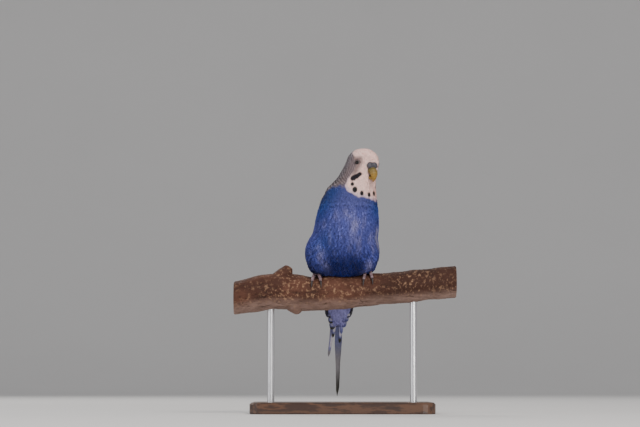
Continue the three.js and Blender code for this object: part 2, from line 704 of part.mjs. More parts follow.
for (const [side, word] of SIDES) {
  addBirdNode(`eye_${word}`, eyeBall(side, 0), 0x0c0a0a, 0.1);
  const wing = wingCore(side, WING.top, WING_CORE.end).add(wingFeathers(side)).subtract(trunkGrown);
  addBirdNode(`wing_${word}`, wing, 0x3c3c42, 0.8);
  const thigh = thighSolid(side, 0).subtract(footSolid(side, GAP)).subtract(toeWays);
  addBirdNode(`thigh_${word}`, thigh, 0x35489a, 0.85);
  addBirdNode(`foot_${word}`, footSolid(side, 0).subtract(perchGrown), 0x8d7f86, 0.6);
}
for (const { name, x, way, drift } of TOES) {
  addBirdNode(`toe_${name}`, toeSolid(x, way, drift), 0x8d7f86, 0.6);
  addBirdNode(`claw_${name}`, clawSolid(x + drift, way, drift * CLAW.fan), 0x4a4448, 0.4);
}

const pits = nostril(1).add(nostril(-1));
addBirdNode("cere", cereSolid(0).subtract(billSolid(UPPER_BILL, GAP)).subtract(pits), 0x6b6a78, 0.55);
addBirdNode("bill_upper", billSolid(UPPER_BILL, 0), 0xa08a4a, 0.35);
const lowerBill = billSolid(LOWER_BILL, 0).subtract(billSolid(UPPER_BILL, GAP));
addBirdNode("bill_lower", lowerBill, 0x9a8450, 0.4);

const rodHoles = rodSolid(1, ROD.fit).add(rodSolid(-1, ROD.fit));
const branch = lifted(perchSolid(0).add(joined(KNOTS.map(knotSolid))));
addNode("perch", branch.subtract(rodHoles), 0x6a4a38, 0.9);

addNode("stand_base", roundedSlab(BASE).translate([0, BASE.y, 0]).subtract(rodHoles), 0x3b2a20, 0.6);
for (const [side, word] of SIDES) addNode(`stand_rod_${word}`, rodSolid(side, 0), 0xb8b8ba, 0.35, 1);

export default model;
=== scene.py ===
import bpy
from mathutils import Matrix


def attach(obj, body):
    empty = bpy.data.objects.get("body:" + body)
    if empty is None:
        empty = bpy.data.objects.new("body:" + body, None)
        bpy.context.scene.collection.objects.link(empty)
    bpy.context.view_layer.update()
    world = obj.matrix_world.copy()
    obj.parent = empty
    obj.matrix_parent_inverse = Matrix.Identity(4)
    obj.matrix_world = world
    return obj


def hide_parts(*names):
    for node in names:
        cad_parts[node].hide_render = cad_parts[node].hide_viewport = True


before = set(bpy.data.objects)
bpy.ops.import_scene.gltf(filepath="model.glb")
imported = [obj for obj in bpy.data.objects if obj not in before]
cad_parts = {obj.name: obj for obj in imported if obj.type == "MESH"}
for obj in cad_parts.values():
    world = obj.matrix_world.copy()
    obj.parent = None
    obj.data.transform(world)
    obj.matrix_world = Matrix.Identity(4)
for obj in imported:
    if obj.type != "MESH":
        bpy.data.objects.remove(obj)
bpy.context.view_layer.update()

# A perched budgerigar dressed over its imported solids: skin, plumage, face, feet, branch and stand.
# Shapes are worked out in millimetres with z = 0 at the top of the branch, as in the part's source.
import math

import bpy
import numpy as np
from mathutils import Vector

rng = np.random.default_rng(11)
PERCH_TOP = 97.0
CROWN, COAT_END = 87.8, -35.4
HEAD_TURN, FACE_TURN = 34.0, 36.0
HEAD_MIDDLE = (13.8, -13.9)
MM = 0.001

# Level, middle x and y, half width, reach forward and back, and turn of each section of the body
SECTIONS = [
    [CROWN, 14.5, -15.4, 0, 0, 0, 34],
    [86.8, 14.5, -15.2, 4.9, 5.5, 5.3, 34],
    [84.6, 14.5, -14.9, 8.0, 9.1, 8.8, 34],
    [82, 14.4, -14.4, 9.8, 11.4, 10.9, 34],
    [79, 14.2, -14.0, 10.6, 12.5, 12.1, 34],
    [76, 13.5, -13.8, 11.2, 12.9, 13.0, 34],
    [72, 12.2, -13.6, 12.0, 13.2, 14.1, 33],
    [68, 10.6, -13.4, 12.9, 13.6, 15.2, 31],
    [64, 8.6, -13.0, 14.8, 14.3, 16.5, 28],
    [60, 6.7, -12.4, 17.0, 15.2, 17.6, 24],
    [55, 5.7, -11.2, 18.4, 16.8, 18.4, 19],
    [50, 4.7, -9.8, 19.9, 18.8, 19.0, 15],
    [44, 3.9, -8.2, 21.1, 21.0, 19.8, 11],
    [37, 3.4, -6.4, 22.0, 23.0, 20.2, 8],
    [30, 2.6, -4.2, 22.6, 24.0, 20.2, 6],
    [23, 1.6, -1.6, 23.0, 24.2, 20.0, 5],
    [16, 0.8, 1.4, 23.2, 23.6, 19.4, 5],
    [9, 0.2, 4.8, 22.8, 21.8, 18.4, 5],
    [3, 0, 8.2, 20.8, 19.2, 16.8, 5],
    [-3, -0.4, 12.4, 17.2, 15.8, 14.6, 4],
    [-9, -0.8, 16.8, 13.8, 12.6, 12.2, 4],
    [-15, -1.3, 21.0, 11.0, 9.9, 10.0, 3],
    [-21, -1.7, 25.0, 8.6, 7.8, 7.4, 3],
    [-26, -2.0, 28.2, 6.6, 5.6, 5.0, 3],
    [-31, -2.2, 31.2, 4.0, 3.3, 2.7, 3],
    [COAT_END, -2.3, 33.6, 0, 0, 0, 3],
]
# Level and the angles of a wing's front and back edges
WING_EDGES = [
    [56, 94, 120], [48, 91, 136], [40, 91, 147], [30, 93, 157], [20, 97, 165],
    [10, 103, 170], [0, 110, 172], [-15, 114, 168], [-30, 112, 150],
]
# x, level, y and radius of the branch
PERCH_LINE = [
    [-80, -16.4, 1.5, 11.6], [-48, -11.6, 0.6, 12.8], [-21, -12.8, 0, 12.2], [-6, -12.2, 0, 11.7],
    [4, -12.4, 0, 11.4], [21, -10.2, 0, 11.2], [45, -8.0, -0.6, 11.2], [84, -4.6, -1.6, 11.1],
]
WING = {"top": 54, "tip": -29, "carve": 2.4, "margin": 6, "soften": 9, "rise": 8}
LOBES = [((15.4, -5.5, 15), (10.2, 12.5, 13.5), -8), ((18, 0.5, 7.4), (4.6, 5.2, 5.6), 0)]
LOBE_MEETING = 3.6
EYE = {"level": 77.1, "angle": 55, "radius": 2.2, "sunk": 1.72, "bare": 2.95}
CERE = {"out": 12.7, "level": 75.1, "apart": 1.9, "wide": 2.4, "high": 2.6, "deep": 1.9, "bare": 2.45}
FOOT_X, TOE_APART, TOE_RADIUS, TOE_GAP = 18, 1.5, 1.12, 0.35


def rgb(*channels):
    """A named colour in linear light from its 8-bit values."""
    c = np.array(channels, float) / 255
    return np.where(c <= 0.04045, c / 12.92, ((c + 0.055) / 1.055) ** 2.4)


FACE_WHITE = rgb(250, 217, 209)
BARRED_PALE = rgb(168, 158, 164)
BAR_BLACK = rgb(42, 36, 41)
EAR_GREY_AND_SHADE = rgb(130, 104, 102)
MASK_LILAC = rgb(190, 178, 206)
VIOLET = rgb(94, 98, 174)
COBALT = rgb(44, 80, 166)
# painted shade of the lower belly, where it curves in towards the branch
BELLY_SHADE = rgb(48, 60, 140)
SHADE = rgb(4, 24, 104)
PARTING = rgb(162, 158, 200)
# pale violet below the tail: partly its own colour, partly painted glow of light shining through
UNDERTAIL_WITH_GLOW = rgb(150, 148, 206)
CHEEK = rgb(20, 8, 24)
SPOT = rgb(10, 8, 11)
COVERT_EDGE = rgb(206, 200, 204)
FLIGHT_DARK, FLIGHT_EDGE, FLIGHT_INNER = rgb(52, 51, 58), rgb(168, 166, 172), rgb(96, 94, 102)
TAIL_GREY, TAIL_NAVY, TAIL_BLUE = rgb(128, 126, 130), rgb(98, 102, 140), rgb(104, 108, 168)
TAIL_PALE, TAIL_TIP = rgb(204, 200, 204), rgb(44, 44, 38)


# Curves and surfaces

def smooth(x, low, high):
    """From 0 at low to 1 at high."""
    t = np.clip((np.asarray(x, float) - low) / (high - low), 0, 1)
    return t * t * (3 - 2 * t)


def band(x, low, full, past, high):
    """1 between full and past, and 0 beyond low and high."""
    return smooth(x, low, full) * (1 - smooth(x, past, high))


def spot(x, middle_x, half_x, y, middle_y, half_y):
    """A soft round patch."""
    return np.exp(-((x - middle_x) / half_x) ** 2 - ((y - middle_y) / half_y) ** 2)


def mix(a, b, t):
    """A share t of the way from a to b."""
    t = np.asarray(t, float)
    return a + (b - a) * (t[..., None] if np.ndim(a) > np.ndim(t) or np.shape(a) == (3,) else t)


def unit(v):
    return v / np.maximum(np.linalg.norm(v, axis=-1, keepdims=True), 1e-6)


def across_to(v, axis):
    """The direction of v without its part along the unit axis."""
    return unit(v - axis * np.sum(v * axis, axis=-1, keepdims=True))


def steps_of(p):
    """Lengths of the steps along a line of points."""
    return np.linalg.norm(np.diff(p, axis=0), axis=1)


def running(steps):
    """Running total of steps, from 0."""
    return np.concatenate([[0], np.cumsum(steps)])


def grid(rows, columns):
    """Both coordinates of every point of a grid."""
    return (v.ravel() for v in np.meshgrid(rows, columns, indexing="ij"))


def about_z(degrees):
    a = math.radians(degrees)
    return np.array([[math.cos(a), -math.sin(a), 0], [math.sin(a), math.cos(a), 0], [0, 0, 1]])


def curve(rows, column, at, squared=False):
    """A smooth curve through one column of a table, level in the first, as in the part's source."""
    rows = np.asarray(rows, float)
    at = np.asarray(at, float)
    x, v = rows[:, 0], rows[:, column] ** 2 if squared else rows[:, column]
    sign = -1 if x[0] > x[1] else 1
    i = np.clip(np.searchsorted(sign * x, sign * at) - 1, 0, len(x) - 2)
    k = np.arange(len(x))
    before, after = np.maximum(k - 1, 0), np.minimum(k + 1, len(x) - 1)
    slope = (v[after] - v[before]) / (x[after] - x[before])
    span = x[i + 1] - x[i]
    t = np.clip((at - x[i]) / span, 0, 1)
    bend = t * (1 - t) * span * (slope[i] * (1 - t) - slope[i + 1] * t)
    value = v[i] + (v[i + 1] - v[i]) * t * t * (3 - 2 * t) + bend
    if squared == "keep":
        first, last = sign * at < sign * x[0], sign * at > sign * x[-1]
        beyond = np.where(last, at - x[-1], np.where(first, at - x[0], 0))
        return value + beyond * np.where(last, slope[-1], slope[0])
    return np.sqrt(np.maximum(value, 0)) if squared else value


GRID = np.arange(-38, 91, 0.05)
INNER = [row for row in SECTIONS if row[3] > 0]
COLUMNS = {"cx": curve(SECTIONS, 1, GRID), "cy": curve(SECTIONS, 2, GRID)}
COLUMNS["turn"] = np.radians(curve(SECTIONS, 6, GRID))
COLUMNS["half"] = curve(SECTIONS, 3, GRID, "keep")
for name, column in [("fore", 4), ("aft", 5)]:
    COLUMNS[name] = curve([[row[0], (row[3] / row[column]) ** 2] for row in INNER], 1, GRID)
COLUMNS["fore_edge"] = curve(WING_EDGES, 1, GRID)
COLUMNS["aft_edge"] = curve(WING_EDGES, 2, GRID)
SLOPES = {name: np.gradient(column, GRID) for name, column in COLUMNS.items()}


def at_level(name, z, slope=False):
    return np.interp(z, GRID, (SLOPES if slope else COLUMNS)[name])


def wing_seat(z, angle):
    """How deep the body is sunk under a wing."""
    top, tip, rise = WING["top"] + 2, WING["tip"], WING["rise"]
    start, end = at_level("fore_edge", z) - WING["margin"], at_level("aft_edge", z) + WING["margin"]
    across = band(np.abs(angle), start - WING["soften"], start, end, end + WING["soften"])
    return WING["carve"] * across * band(z, tip, tip + 2 * rise, top, top + rise)


def body_point(z, angle, height=0.0):
    """A point of the body by level, angle from its front towards its left, and height above it."""
    z, angle, height = np.broadcast_arrays(*(np.asarray(v, float) for v in (z, angle, height)))
    a, turn = np.radians(angle), at_level("turn", z)
    lift = height - wing_seat(z, angle)
    sideways = (curve(SECTIONS, 3, z, True) + lift) * np.sin(a)
    reach = np.where(np.cos(a) > 0, curve(SECTIONS, 4, z, True), curve(SECTIONS, 5, z, True))
    forward = (reach + lift) * np.cos(a)
    x = at_level("cx", z) + sideways * np.cos(turn) + forward * np.sin(turn)
    y = at_level("cy", z) + sideways * np.sin(turn) - forward * np.cos(turn)
    return np.stack([x, y, z], -1)


def in_section(p):
    """Sideways and forward places of points in their section, and the squared ratio there."""
    turn = at_level("turn", p[:, 2])
    dx, dy = p[:, 0] - at_level("cx", p[:, 2]), p[:, 1] - at_level("cy", p[:, 2])
    side = dx * np.cos(turn) + dy * np.sin(turn)
    ahead = dx * np.sin(turn) - dy * np.cos(turn)
    return side, ahead, np.where(ahead > 0, at_level("fore", p[:, 2]), at_level("aft", p[:, 2]))


def angle_of(p):
    side, ahead, ratio = in_section(p)
    return np.degrees(np.arctan2(side, ahead * np.sqrt(ratio)))


def head_angle(p):
    """Angle round the head from the middle of the face, towards the bird's left."""
    return (angle_of(p) + np.degrees(at_level("turn", p[:, 2])) - FACE_TURN + 180) % 360 - 180


def soft_least(a, b, meeting):
    """The smaller of two distances, rounded where they meet, and how far the first one rules."""
    h = np.clip(0.5 + 0.5 * (b - a) / meeting, 0, 1)
    return b + (a - b) * h - meeting * h * (1 - h), h


def egg(p, half):
    """Distance of points from an ellipsoid, roughly, and the outward direction."""
    steep = p / half ** 2
    length, rate = np.linalg.norm(p / half, axis=1), np.maximum(np.linalg.norm(steep, axis=1), 1e-6)
    return length * (length - 1) / rate, steep / rate[:, None]


def surface(p, seat):
    """Distance of points above the body's surface, roughly, and the outward direction."""
    z = p[:, 2]
    side, ahead, ratio = in_section(p)
    turn, turning = at_level("turn", z), at_level("turn", z, True)
    c, s = np.cos(turn), np.sin(turn)
    move_x, move_y = at_level("cx", z, True), at_level("cy", z, True)
    ratio_slope = np.where(ahead > 0, at_level("fore", z, True), at_level("aft", z, True))
    side_z = -move_x * c - move_y * s - ahead * turning
    ahead_z = -move_x * s + move_y * c + side * turning
    half, half_slope = at_level("half", z), at_level("half", z, True)
    by_side, by_ahead = 2 * side, 2 * ratio * ahead
    gradient = np.stack([
        by_side * c + by_ahead * s,
        by_side * s - by_ahead * c,
        by_side * side_z + by_ahead * ahead_z + ratio_slope * ahead ** 2 - half_slope,
    ], -1)
    size = np.maximum(np.linalg.norm(gradient, axis=1), 1e-3)
    distance, normal = (side ** 2 + ratio * ahead ** 2 - half) / size, gradient / size[:, None]
    for (x, y, level), reach, turned in LOBES:
        for way in (1, -1):
            spin = about_z(way * turned)
            lobe, lobe_normal = egg((p - [way * x, y, level]) @ spin, np.array(reach))
            distance, share = soft_least(distance, lobe, LOBE_MEETING)
            normal = mix(lobe_normal @ spin.T, normal, share)
    return distance + (wing_seat(z, angle_of(p)) if seat else 0), unit(normal)


def onto(p, height=0.0, steps=3, seat=True):
    """Points moved to a height above the surface, and the outward directions there."""
    for _ in range(steps):
        distance, normal = surface(p, seat)
        p = p - normal * np.clip(distance - height, -2, 2)[:, None]
    return p, surface(p, seat)[1]


def perch_reach(x, angle):
    """Radius of the branch at an angle in radians, without the relief of its bark."""
    ripple = 0.28 * np.sin(3 * angle + x * 0.11) + 0.22 * np.sin(2 * angle - x * 0.23)
    return curve(PERCH_LINE, 3, x) + ripple + 0.15 * np.sin(x * 0.4)


def perch_point(x, angle, height=0.0):
    """A point round the branch: angle 0 is its top, and goes towards the front."""
    a = np.radians(angle)
    reach = perch_reach(np.asarray(x, float), a) + height
    y, z = curve(PERCH_LINE, 2, x) - reach * np.sin(a), curve(PERCH_LINE, 1, x) + reach * np.cos(a)
    return np.stack(np.broadcast_arrays(np.asarray(x, float), y, z), -1)


def off_perch(p, clear):
    """Points inside the branch are moved out of it."""
    dy, dz = p[:, 1] - curve(PERCH_LINE, 2, p[:, 0]), p[:, 2] - curve(PERCH_LINE, 1, p[:, 0])
    apart = np.hypot(dy, dz)
    least = perch_reach(p[:, 0], np.arctan2(-dy, dz)) + clear
    grow = np.maximum(least / np.maximum(apart, 1e-6), 1)
    out = p.copy()
    out[:, 1] += dy * (grow - 1)
    out[:, 2] += dz * (grow - 1)
    return out


def head_point(forward, left, z):
    """A point by its places ahead of the head's middle and to the bird's left."""
    turn = math.radians(HEAD_TURN)
    x = HEAD_MIDDLE[0] + forward * math.sin(turn) + left * math.cos(turn)
    return np.array([x, HEAD_MIDDLE[1] - forward * math.cos(turn) + left * math.sin(turn), z])


def noise(p, scale, seed):
    """Smooth value noise from -1 to 1 at points, from a hash of the corners of their cells."""
    q = np.asarray(p, float) / scale + seed * 17.31
    cell = np.floor(q).astype(np.int64)
    f = q - cell
    f = f * f * (3 - 2 * f)
    total = np.zeros(len(q))
    for corner in range(8):
        bits = np.array([corner & 1, corner >> 1 & 1, corner >> 2 & 1])
        c = cell + bits
        h = (c[:, 0] * 73856093) ^ (c[:, 1] * 19349663) ^ (c[:, 2] * 83492791)
        h = (h * 2654435761) & 0xFFFFFFFF
        h = ((h ^ (h >> 15)) * 2246822519) & 0xFFFFFFFF
        weight = np.prod(np.where(bits, f, 1 - f), axis=1)
        total += weight * (((h ^ (h >> 13)) & 0xFFFFFF) / 0xFFFFFF)
    return total * 2 - 1


# Meshes and materials

def add_piece(name, points, faces, material, slot=None, replaces=(), layers=None, uvs=None):
    """A mesh piece from points in millimetres and faces of one size; layers are values by point."""
    mesh = bpy.data.meshes.new(name)
    count, size = faces.shape
    mesh.vertices.add(len(points))
    world = (np.asarray(points, float) + [0, 0, PERCH_TOP]) * MM
    mesh.vertices.foreach_set("co", world.astype(np.float32).ravel())
    mesh.loops.add(count * size)
    mesh.loops.foreach_set("vertex_index", faces.astype(np.int32).ravel())
    mesh.polygons.add(count)
    mesh.polygons.foreach_set("loop_start", np.arange(0, count * size, size, dtype=np.int32))
    mesh.polygons.foreach_set("use_smooth", np.ones(count, bool))
    for layer, values in (layers or {}).items():
        values = np.asarray(values, np.float32)
        if values.ndim == 2:
            values = np.concatenate([values, np.ones((len(values), 1), np.float32)], 1)
            mesh.attributes.new(layer, "FLOAT_COLOR", "POINT").data.foreach_set("color", values.ravel())
        else:
            mesh.attributes.new(layer, "FLOAT", "POINT").data.foreach_set("value", values)
    for layer, values in (uvs or {}).items():
        uv = mesh.uv_layers.new(name=layer)
        uv.data.foreach_set("uv", np.asarray(values, np.float32)[faces.ravel()].ravel())
    mesh.update(calc_edges=True)
    mesh.validate()
    piece = bpy.data.objects.new(name, mesh)
    bpy.context.scene.collection.objects.link(piece)
    mesh.materials.append(material)
    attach(piece, "root")
    if replaces:
        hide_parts(*replaces)


def grid_faces(rows, columns, around=False):
    """Four-cornered faces of one grid of points, closed round its columns or open."""
    r, c = np.meshgrid(np.arange(rows - 1), np.arange(columns if around else columns - 1), indexing="ij")
    a, b = r * columns + c, r * columns + (c + 1) % columns
    return np.stack([a, b, b + columns, a + columns], -1).reshape(-1, 4)


def joined(parts):
    """Several (points, faces) as one."""
    points, faces, start = [], [], 0
    for p, f in parts:
        points.append(p)
        faces.append(f + start)
        start += len(p)
    return np.concatenate(points), np.concatenate(faces)


def tube(path, wide, deep, side, sides):
    """A tapering tube along a path, with its half widths and half depths."""
    along = unit(np.gradient(path, axis=0))
    side = across_to(side, along)
    up = np.cross(along, side)
    a = np.linspace(0, 2 * np.pi, sides, endpoint=False)
    ring = side[:, None] * (np.cos(a) * wide[:, None])[..., None]
    ring = ring + up[:, None] * (np.sin(a) * deep[:, None])[..., None]
    return (path[:, None] + ring).reshape(-1, 3), grid_faces(len(path), sides, True)


def ball(middle, half, rows, columns):
    """An ellipsoid with its poles up and down."""
    turns = np.linspace(0, 2 * math.pi, columns, endpoint=False)
    t, a = grid(np.linspace(0.0005, math.pi - 0.0005, rows), turns)
    rays = np.stack([np.sin(t) * np.cos(a), np.sin(t) * np.sin(a), np.cos(t)], -1)
    return rays * half + middle, grid_faces(rows, columns, True)[:, ::-1]


class Nodes:
    """A material under construction."""

    def __init__(self, name):
        self.material = bpy.data.materials.new(name)
        self.material.use_nodes = True
        self.tree = self.material.node_tree

    def give(self, socket, value):
        if isinstance(value, bpy.types.NodeSocket):
            self.tree.links.new(value, socket)
        else:
            socket.default_value = value

    def add(self, kind, inputs, **settings):
        node = self.tree.nodes.new(kind)
        for key, value in settings.items():
            setattr(node, key, value)
        for key, value in inputs.items():
            self.give(node.inputs[key], value)
        return node

    def math(self, operation, a, b=0.0):
        return self.add("ShaderNodeMath", {0: a, 1: b}, operation=operation).outputs[0]

    def plus(self, a, b):
        return self.math("ADD", a, b)

    def minus(self, a, b):
        return self.math("SUBTRACT", a, b)

    def times(self, a, b):
        return self.math("MULTIPLY", a, b)

    def blend(self, factor, a, b, way="MIX"):
        a, b = (v if isinstance(v, bpy.types.NodeSocket) else (*v, 1.0) for v in (a, b))
        node = self.add("ShaderNodeMix", {0: factor, 6: a, 7: b}, data_type="RGBA", blend_type=way)
        return node.outputs[2]

    def attribute(self, name, output="Fac"):
        return self.add("ShaderNodeAttribute", {}, attribute_name=name).outputs[output]

    def place(self, scale=(1, 1, 1)):
        where = self.add("ShaderNodeTexCoord", {}).outputs["Object"]
        return self.add("ShaderNodeMapping", {"Vector": where, "Scale": scale}).outputs[0]

    def spots(self, where, scale, detail=3.0, rough=0.6):
        inputs = {"Vector": where, "Scale": scale, "Detail": detail, "Roughness": rough}
        return self.add("ShaderNodeTexNoise", inputs).outputs[0]

    def ramp(self, value, low, high, start=0.0, end=1.0):
        inputs = {"Value": value, "From Min": low, "From Max": high, "To Min": start, "To Max": end}
        return self.add("ShaderNodeMapRange", inputs, interpolation_type="SMOOTHSTEP").outputs[0]

    def bump(self, height, strength, distance):
        inputs = {"Height": height, "Strength": strength, "Distance": distance}
        return self.add("ShaderNodeBump", inputs).outputs[0]

    def finish(self, **sockets):
        for key, value in sockets.items():
            self.give(self.tree.nodes["Principled BSDF"].inputs[key.replace("_", " ")], value)
        return self.material


def plumage(name, barbs=0.5, gloss=0.62):
    """Feathers: their colour by point, dark bars across the lie, scalloped edges and fine barbs."""
    n = Nodes(name)
    split = n.add("ShaderNodeSeparateXYZ", {0: n.add("ShaderNodeUVMap", {}, uv_map="Vane").outputs[0]})
    across = n.math("ABSOLUTE", n.minus(split.outputs[0], 0.5))
    along = split.outputs[1]
    where = n.place()
    grain = n.spots(where, 900.0, 2.0)
    phase = n.plus(n.attribute("phase"), n.times(n.spots(where, 330.0, 2.0), 0.9))
    wave = n.math("SINE", n.times(phase, 2 * math.pi))
    bars = n.times(n.ramp(wave, -0.35, 0.45, 0.0, 0.88), n.attribute("barred"))
    colour = n.blend(bars, n.attribute("tone", "Color"), BAR_BLACK)
    tip_edge = n.ramp(n.minus(along, n.attribute("rim")), -0.02, 0.03)
    side_edge = n.ramp(n.minus(across, n.attribute("rim_side")), -0.02, 0.03)
    rim = n.math("MAXIMUM", tip_edge, side_edge)
    colour = n.blend(n.times(n.minus(1.0, rim), n.attribute("scallop")), colour, BAR_BLACK)
    slant = n.plus(n.times(across, 60.0), n.times(along, -45.0))
    barb = n.math("SINE", n.plus(slant, n.times(grain, 8.0)))
    shade = n.plus(n.times(barb, 0.10 * barbs), n.ramp(grain, 0.2, 0.8, 0.86, 1.12))
    grey = n.add("ShaderNodeCombineColor", {0: shade, 1: shade, 2: shade}).outputs[0]
    return n.finish(Base_Color=n.blend(1.0, colour, grey, "MULTIPLY"), Specular_IOR_Level=0.3,
                    Roughness=n.ramp(grain, 0.2, 0.8, gloss - 0.08, gloss + 0.12),
                    Normal=n.bump(barb, 0.25 * barbs, 0.00006), Sheen_Weight=0.12, Sheen_Roughness=0.5)


# Markings

BEAK_ROOT = head_point(9.5, 0, 71.5)
# The white mask's edge at its side by level, its foot by angle round the head, and the foot of the bars
MASK_SIDE = [
    [60, 75], [66, 63], [70, 56], [74, 54], [76.5, 60], [78.8, 71], [81.8, 79], [84, 92], [86.2, 115],
    [88.2, 170],
]
MASK_LOW = [
    [-90, 68], [-62, 66], [-50, 59.8], [-33, 56], [-18, 53.8], [2, 52.8], [34, 51], [55, 53], [68, 58],
    [90, 66],
]
BARS_LOW = [
    [-180, 26], [-140, 30], [-112, 46], [-96, 56], [-80, 60.5], [80, 60.5], [96, 56], [112, 46],
    [140, 30], [180, 26],
]
# Level, angle from the middle of the face and radius, the right side first
THROAT_SPOTS = [
    (62.0, -36.5, 1.15), (58.2, -26, 1.7), (55.8, -9, 1.4), (55.0, 10.6, 1.4), (56.2, 31, 1.5),
    (61, 47, 1.0),
]
# Level, angle and radius at both ends of each patch, the right side first
CHEEK_PATCHES = [[(66.1, -46.5, 1.8), (69.2, -32, 1.35)], [(65.9, 62, 1.75), (69.0, 49, 1.3)]]
FRINGE_ANGLE = 66.0
# Parted feathers that show their pale bases: level, angle, half height, half width in degrees, amount
PALE_PLACES = [
    (41, -6, 5, 14, 0.42), (39, -32, 4, 5, 0.4), (34, 8, 5, 9, 0.75), (25, -10, 3, 5, 0.3),
    (26, 20, 5, 5, 0.4), (19, -52, 3, 5, 0.35), (13, -42, 4, 5, 0.42), (7, -33, 4, 5, 0.42),
    (20, 48, 7, 5, 0.22), (6, 37, 4, 6, 0.5),
]
# Length along the lie where the bars start to widen, and how fast they do
BAR_START, BAR_RATE = 28.0, 29.0
# The grid over the body on which that length is found
RUN_TOP, RUN_END, RUN_ROWS, RUN_COLUMNS = CROWN - 0.3, -34.0, 150, 72


def face_point(z, around):
    return body_point(z, around - np.degrees(at_level("turn", z)) + FACE_TURN)


def body_tone(p, angle, wobble, fine):
    """The blues from the breast down, with their paler and parted places, painted shade low on the belly,
    between the thighs, high on the breast and in the gap by the wing, and painted light below the tail.
    """
    z, side = p[:, 2], np.abs(angle)
    cobalt = np.maximum.reduce([
        smooth(np.abs(angle + 4), 22, 66) * smooth(z + 2 * wobble, 30, 48),
        smooth(side, 85, 110) * smooth(z, -12, 0),
        0.7 * spot(angle, -46, 20, z, 20, 10),
    ])
    blue = mix(np.broadcast_to(VIOLET, p.shape), COBALT, 0.15 + 0.85 * cobalt)
    # painted shade: the belly darkens from level 30 down to 8, where it curves in towards the branch
    blue = mix(blue, BELLY_SHADE, (1 - smooth(z + 3 * wobble, 8, 30)) * (1 - smooth(side, 60, 110)) * 0.8)
    # painted shadow between the thighs, and a painted shade patch low on the bird's right side by the branch,
    # deepened with the spot colour
    shade_between_legs = (1 - smooth(z + 2 * wobble, 6, 17)) * (1 - smooth(np.abs(angle - 2), 22, 46))
    low_flank_shade = spot(angle, -66, 18, z, 2, 7)
    blue = mix(blue, SHADE, np.maximum(shade_between_legs * 0.95, low_flank_shade * 0.75))
    blue = mix(blue, SPOT, low_flank_shade * 0.3)
    # painted light: below level -7 the coat is made pale violet, partly its own colour and partly the glow of
    # light through the tail coverts
    blue = mix(blue, UNDERTAIL_WITH_GLOW, (1 - smooth(z + wobble, -16, -7)) * 0.9)
    streak = noise(p * [1.0, 1.0, 0.34], 3.4, 5)
    cloud = 0.18 * smooth(streak, 0.12, 0.62) * band(z, 8, 20, 40, 48) * (1 - smooth(side, 70, 100))
    broken = smooth(streak + 0.5 * fine, -0.7, 0.3)
    for level, at, tall, broad, much in PALE_PLACES:
        cloud += much * spot(angle, at, broad, z, level, tall) * broken
    blue = mix(blue, PARTING, np.clip(cloud, 0, 0.8))
    # painted shade: from level 41 up, the breast is made darker at the front and sides
    blue = blue * (1 - 0.38 * smooth(z + wobble, 41, 51) * (1 - smooth(side, 95, 120)))[:, None]
    # pale fringe with a painted shadow in the gap above it, where the bird's left side meets the wing
    off = angle - FRINGE_ANGLE - 3 * fine
    fringe = np.exp(-(off / 6) ** 2) * band(z + 2 * wobble, 14, 20, 30, 34)
    blue = mix(blue, COVERT_EDGE, 0.46 * fringe)
    return mix(blue, SHADE, 0.8 * spot(off, 0, 6, z, 36.5, 2.2))


def markings(p):
    """Colour, barring and bar phase of the plumage at points."""
    z, angle, around = p[:, 2], angle_of(p), head_angle(p)
    beside = np.abs(around)
    wobble, fine = noise(p, 2.2, 3), noise(p, 0.9, 4)
    edge = curve(BARS_LOW, 1, angle)
    barred = smooth(z + 1.3 * wobble, edge - 1.2, edge + 1.6)
    tone = mix(body_tone(p, angle, wobble, fine), BARRED_PALE, barred)
    # white mask, greyed at its side by the eye, part own grey and part painted shade, grey behind that, lilac
    # at its foot
    side, foot = curve(MASK_SIDE, 1, np.clip(z, 60, CROWN)), curve(MASK_LOW, 1, around)
    inside = 1 - smooth(beside + 5 * wobble, side - 3, side + 4)
    inside = inside * smooth(z + 0.8 * wobble, foot - 0.7, foot + 0.8)
    tone, barred = mix(tone, FACE_WHITE, inside), barred * (1 - inside)
    # painted shade mixed with that part's own grey: the white mask greys towards the side of the face near
    # the eye
    ear_grey_and_shade = smooth(beside + 3 * wobble, 33, 52) * band(z, 66, 71, 79.5, 83) * inside
    tone = mix(tone, EAR_GREY_AND_SHADE, 0.85 * ear_grey_and_shade)
    grey = band(beside, 46, 56, 78, 104) * (1 - inside) * smooth(z + wobble, 58, 64) * (1 - smooth(z, 80, 86))
    tone, barred = mix(tone, EAR_GREY_AND_SHADE, 0.6 * grey), barred * (1 - 0.4 * grey)
    low = 1 - smooth(z + 0.6 * wobble, foot + 0.2, foot + 3.6)
    tone = mix(tone, MASK_LILAC, 0.55 * inside * low)
    marks = []
    for level, out, radius in THROAT_SPOTS:
        apart = np.linalg.norm((p - face_point(level, out)) * [1, 1, 0.86], axis=1) + 0.15 * fine
        marks.append((SPOT, 1 - smooth(apart, radius - 0.2, radius + 0.4)))
    for (z0, a0, r0), (z1, a1, r1) in CHEEK_PATCHES:
        start = face_point(z0, a0)
        reach = face_point(z1, a1) - start
        t = np.clip(((p - start) @ reach) / (reach @ reach), 0, 1)
        apart = np.linalg.norm(p - start - t[:, None] * reach, axis=1) + 0.3 * wobble + 0.25 * fine
        marks.append((CHEEK, 1 - smooth(apart, mix(r0, r1, t) - 0.2, mix(r0, r1, t) + 0.45)))
    for colour, dark in marks:
        tone, barred = mix(tone, colour, dark), barred * (1 - dark)
    return tone, barred, BAR_RATE * np.log(1 + np.maximum(run_of(p), 0) / BAR_START)


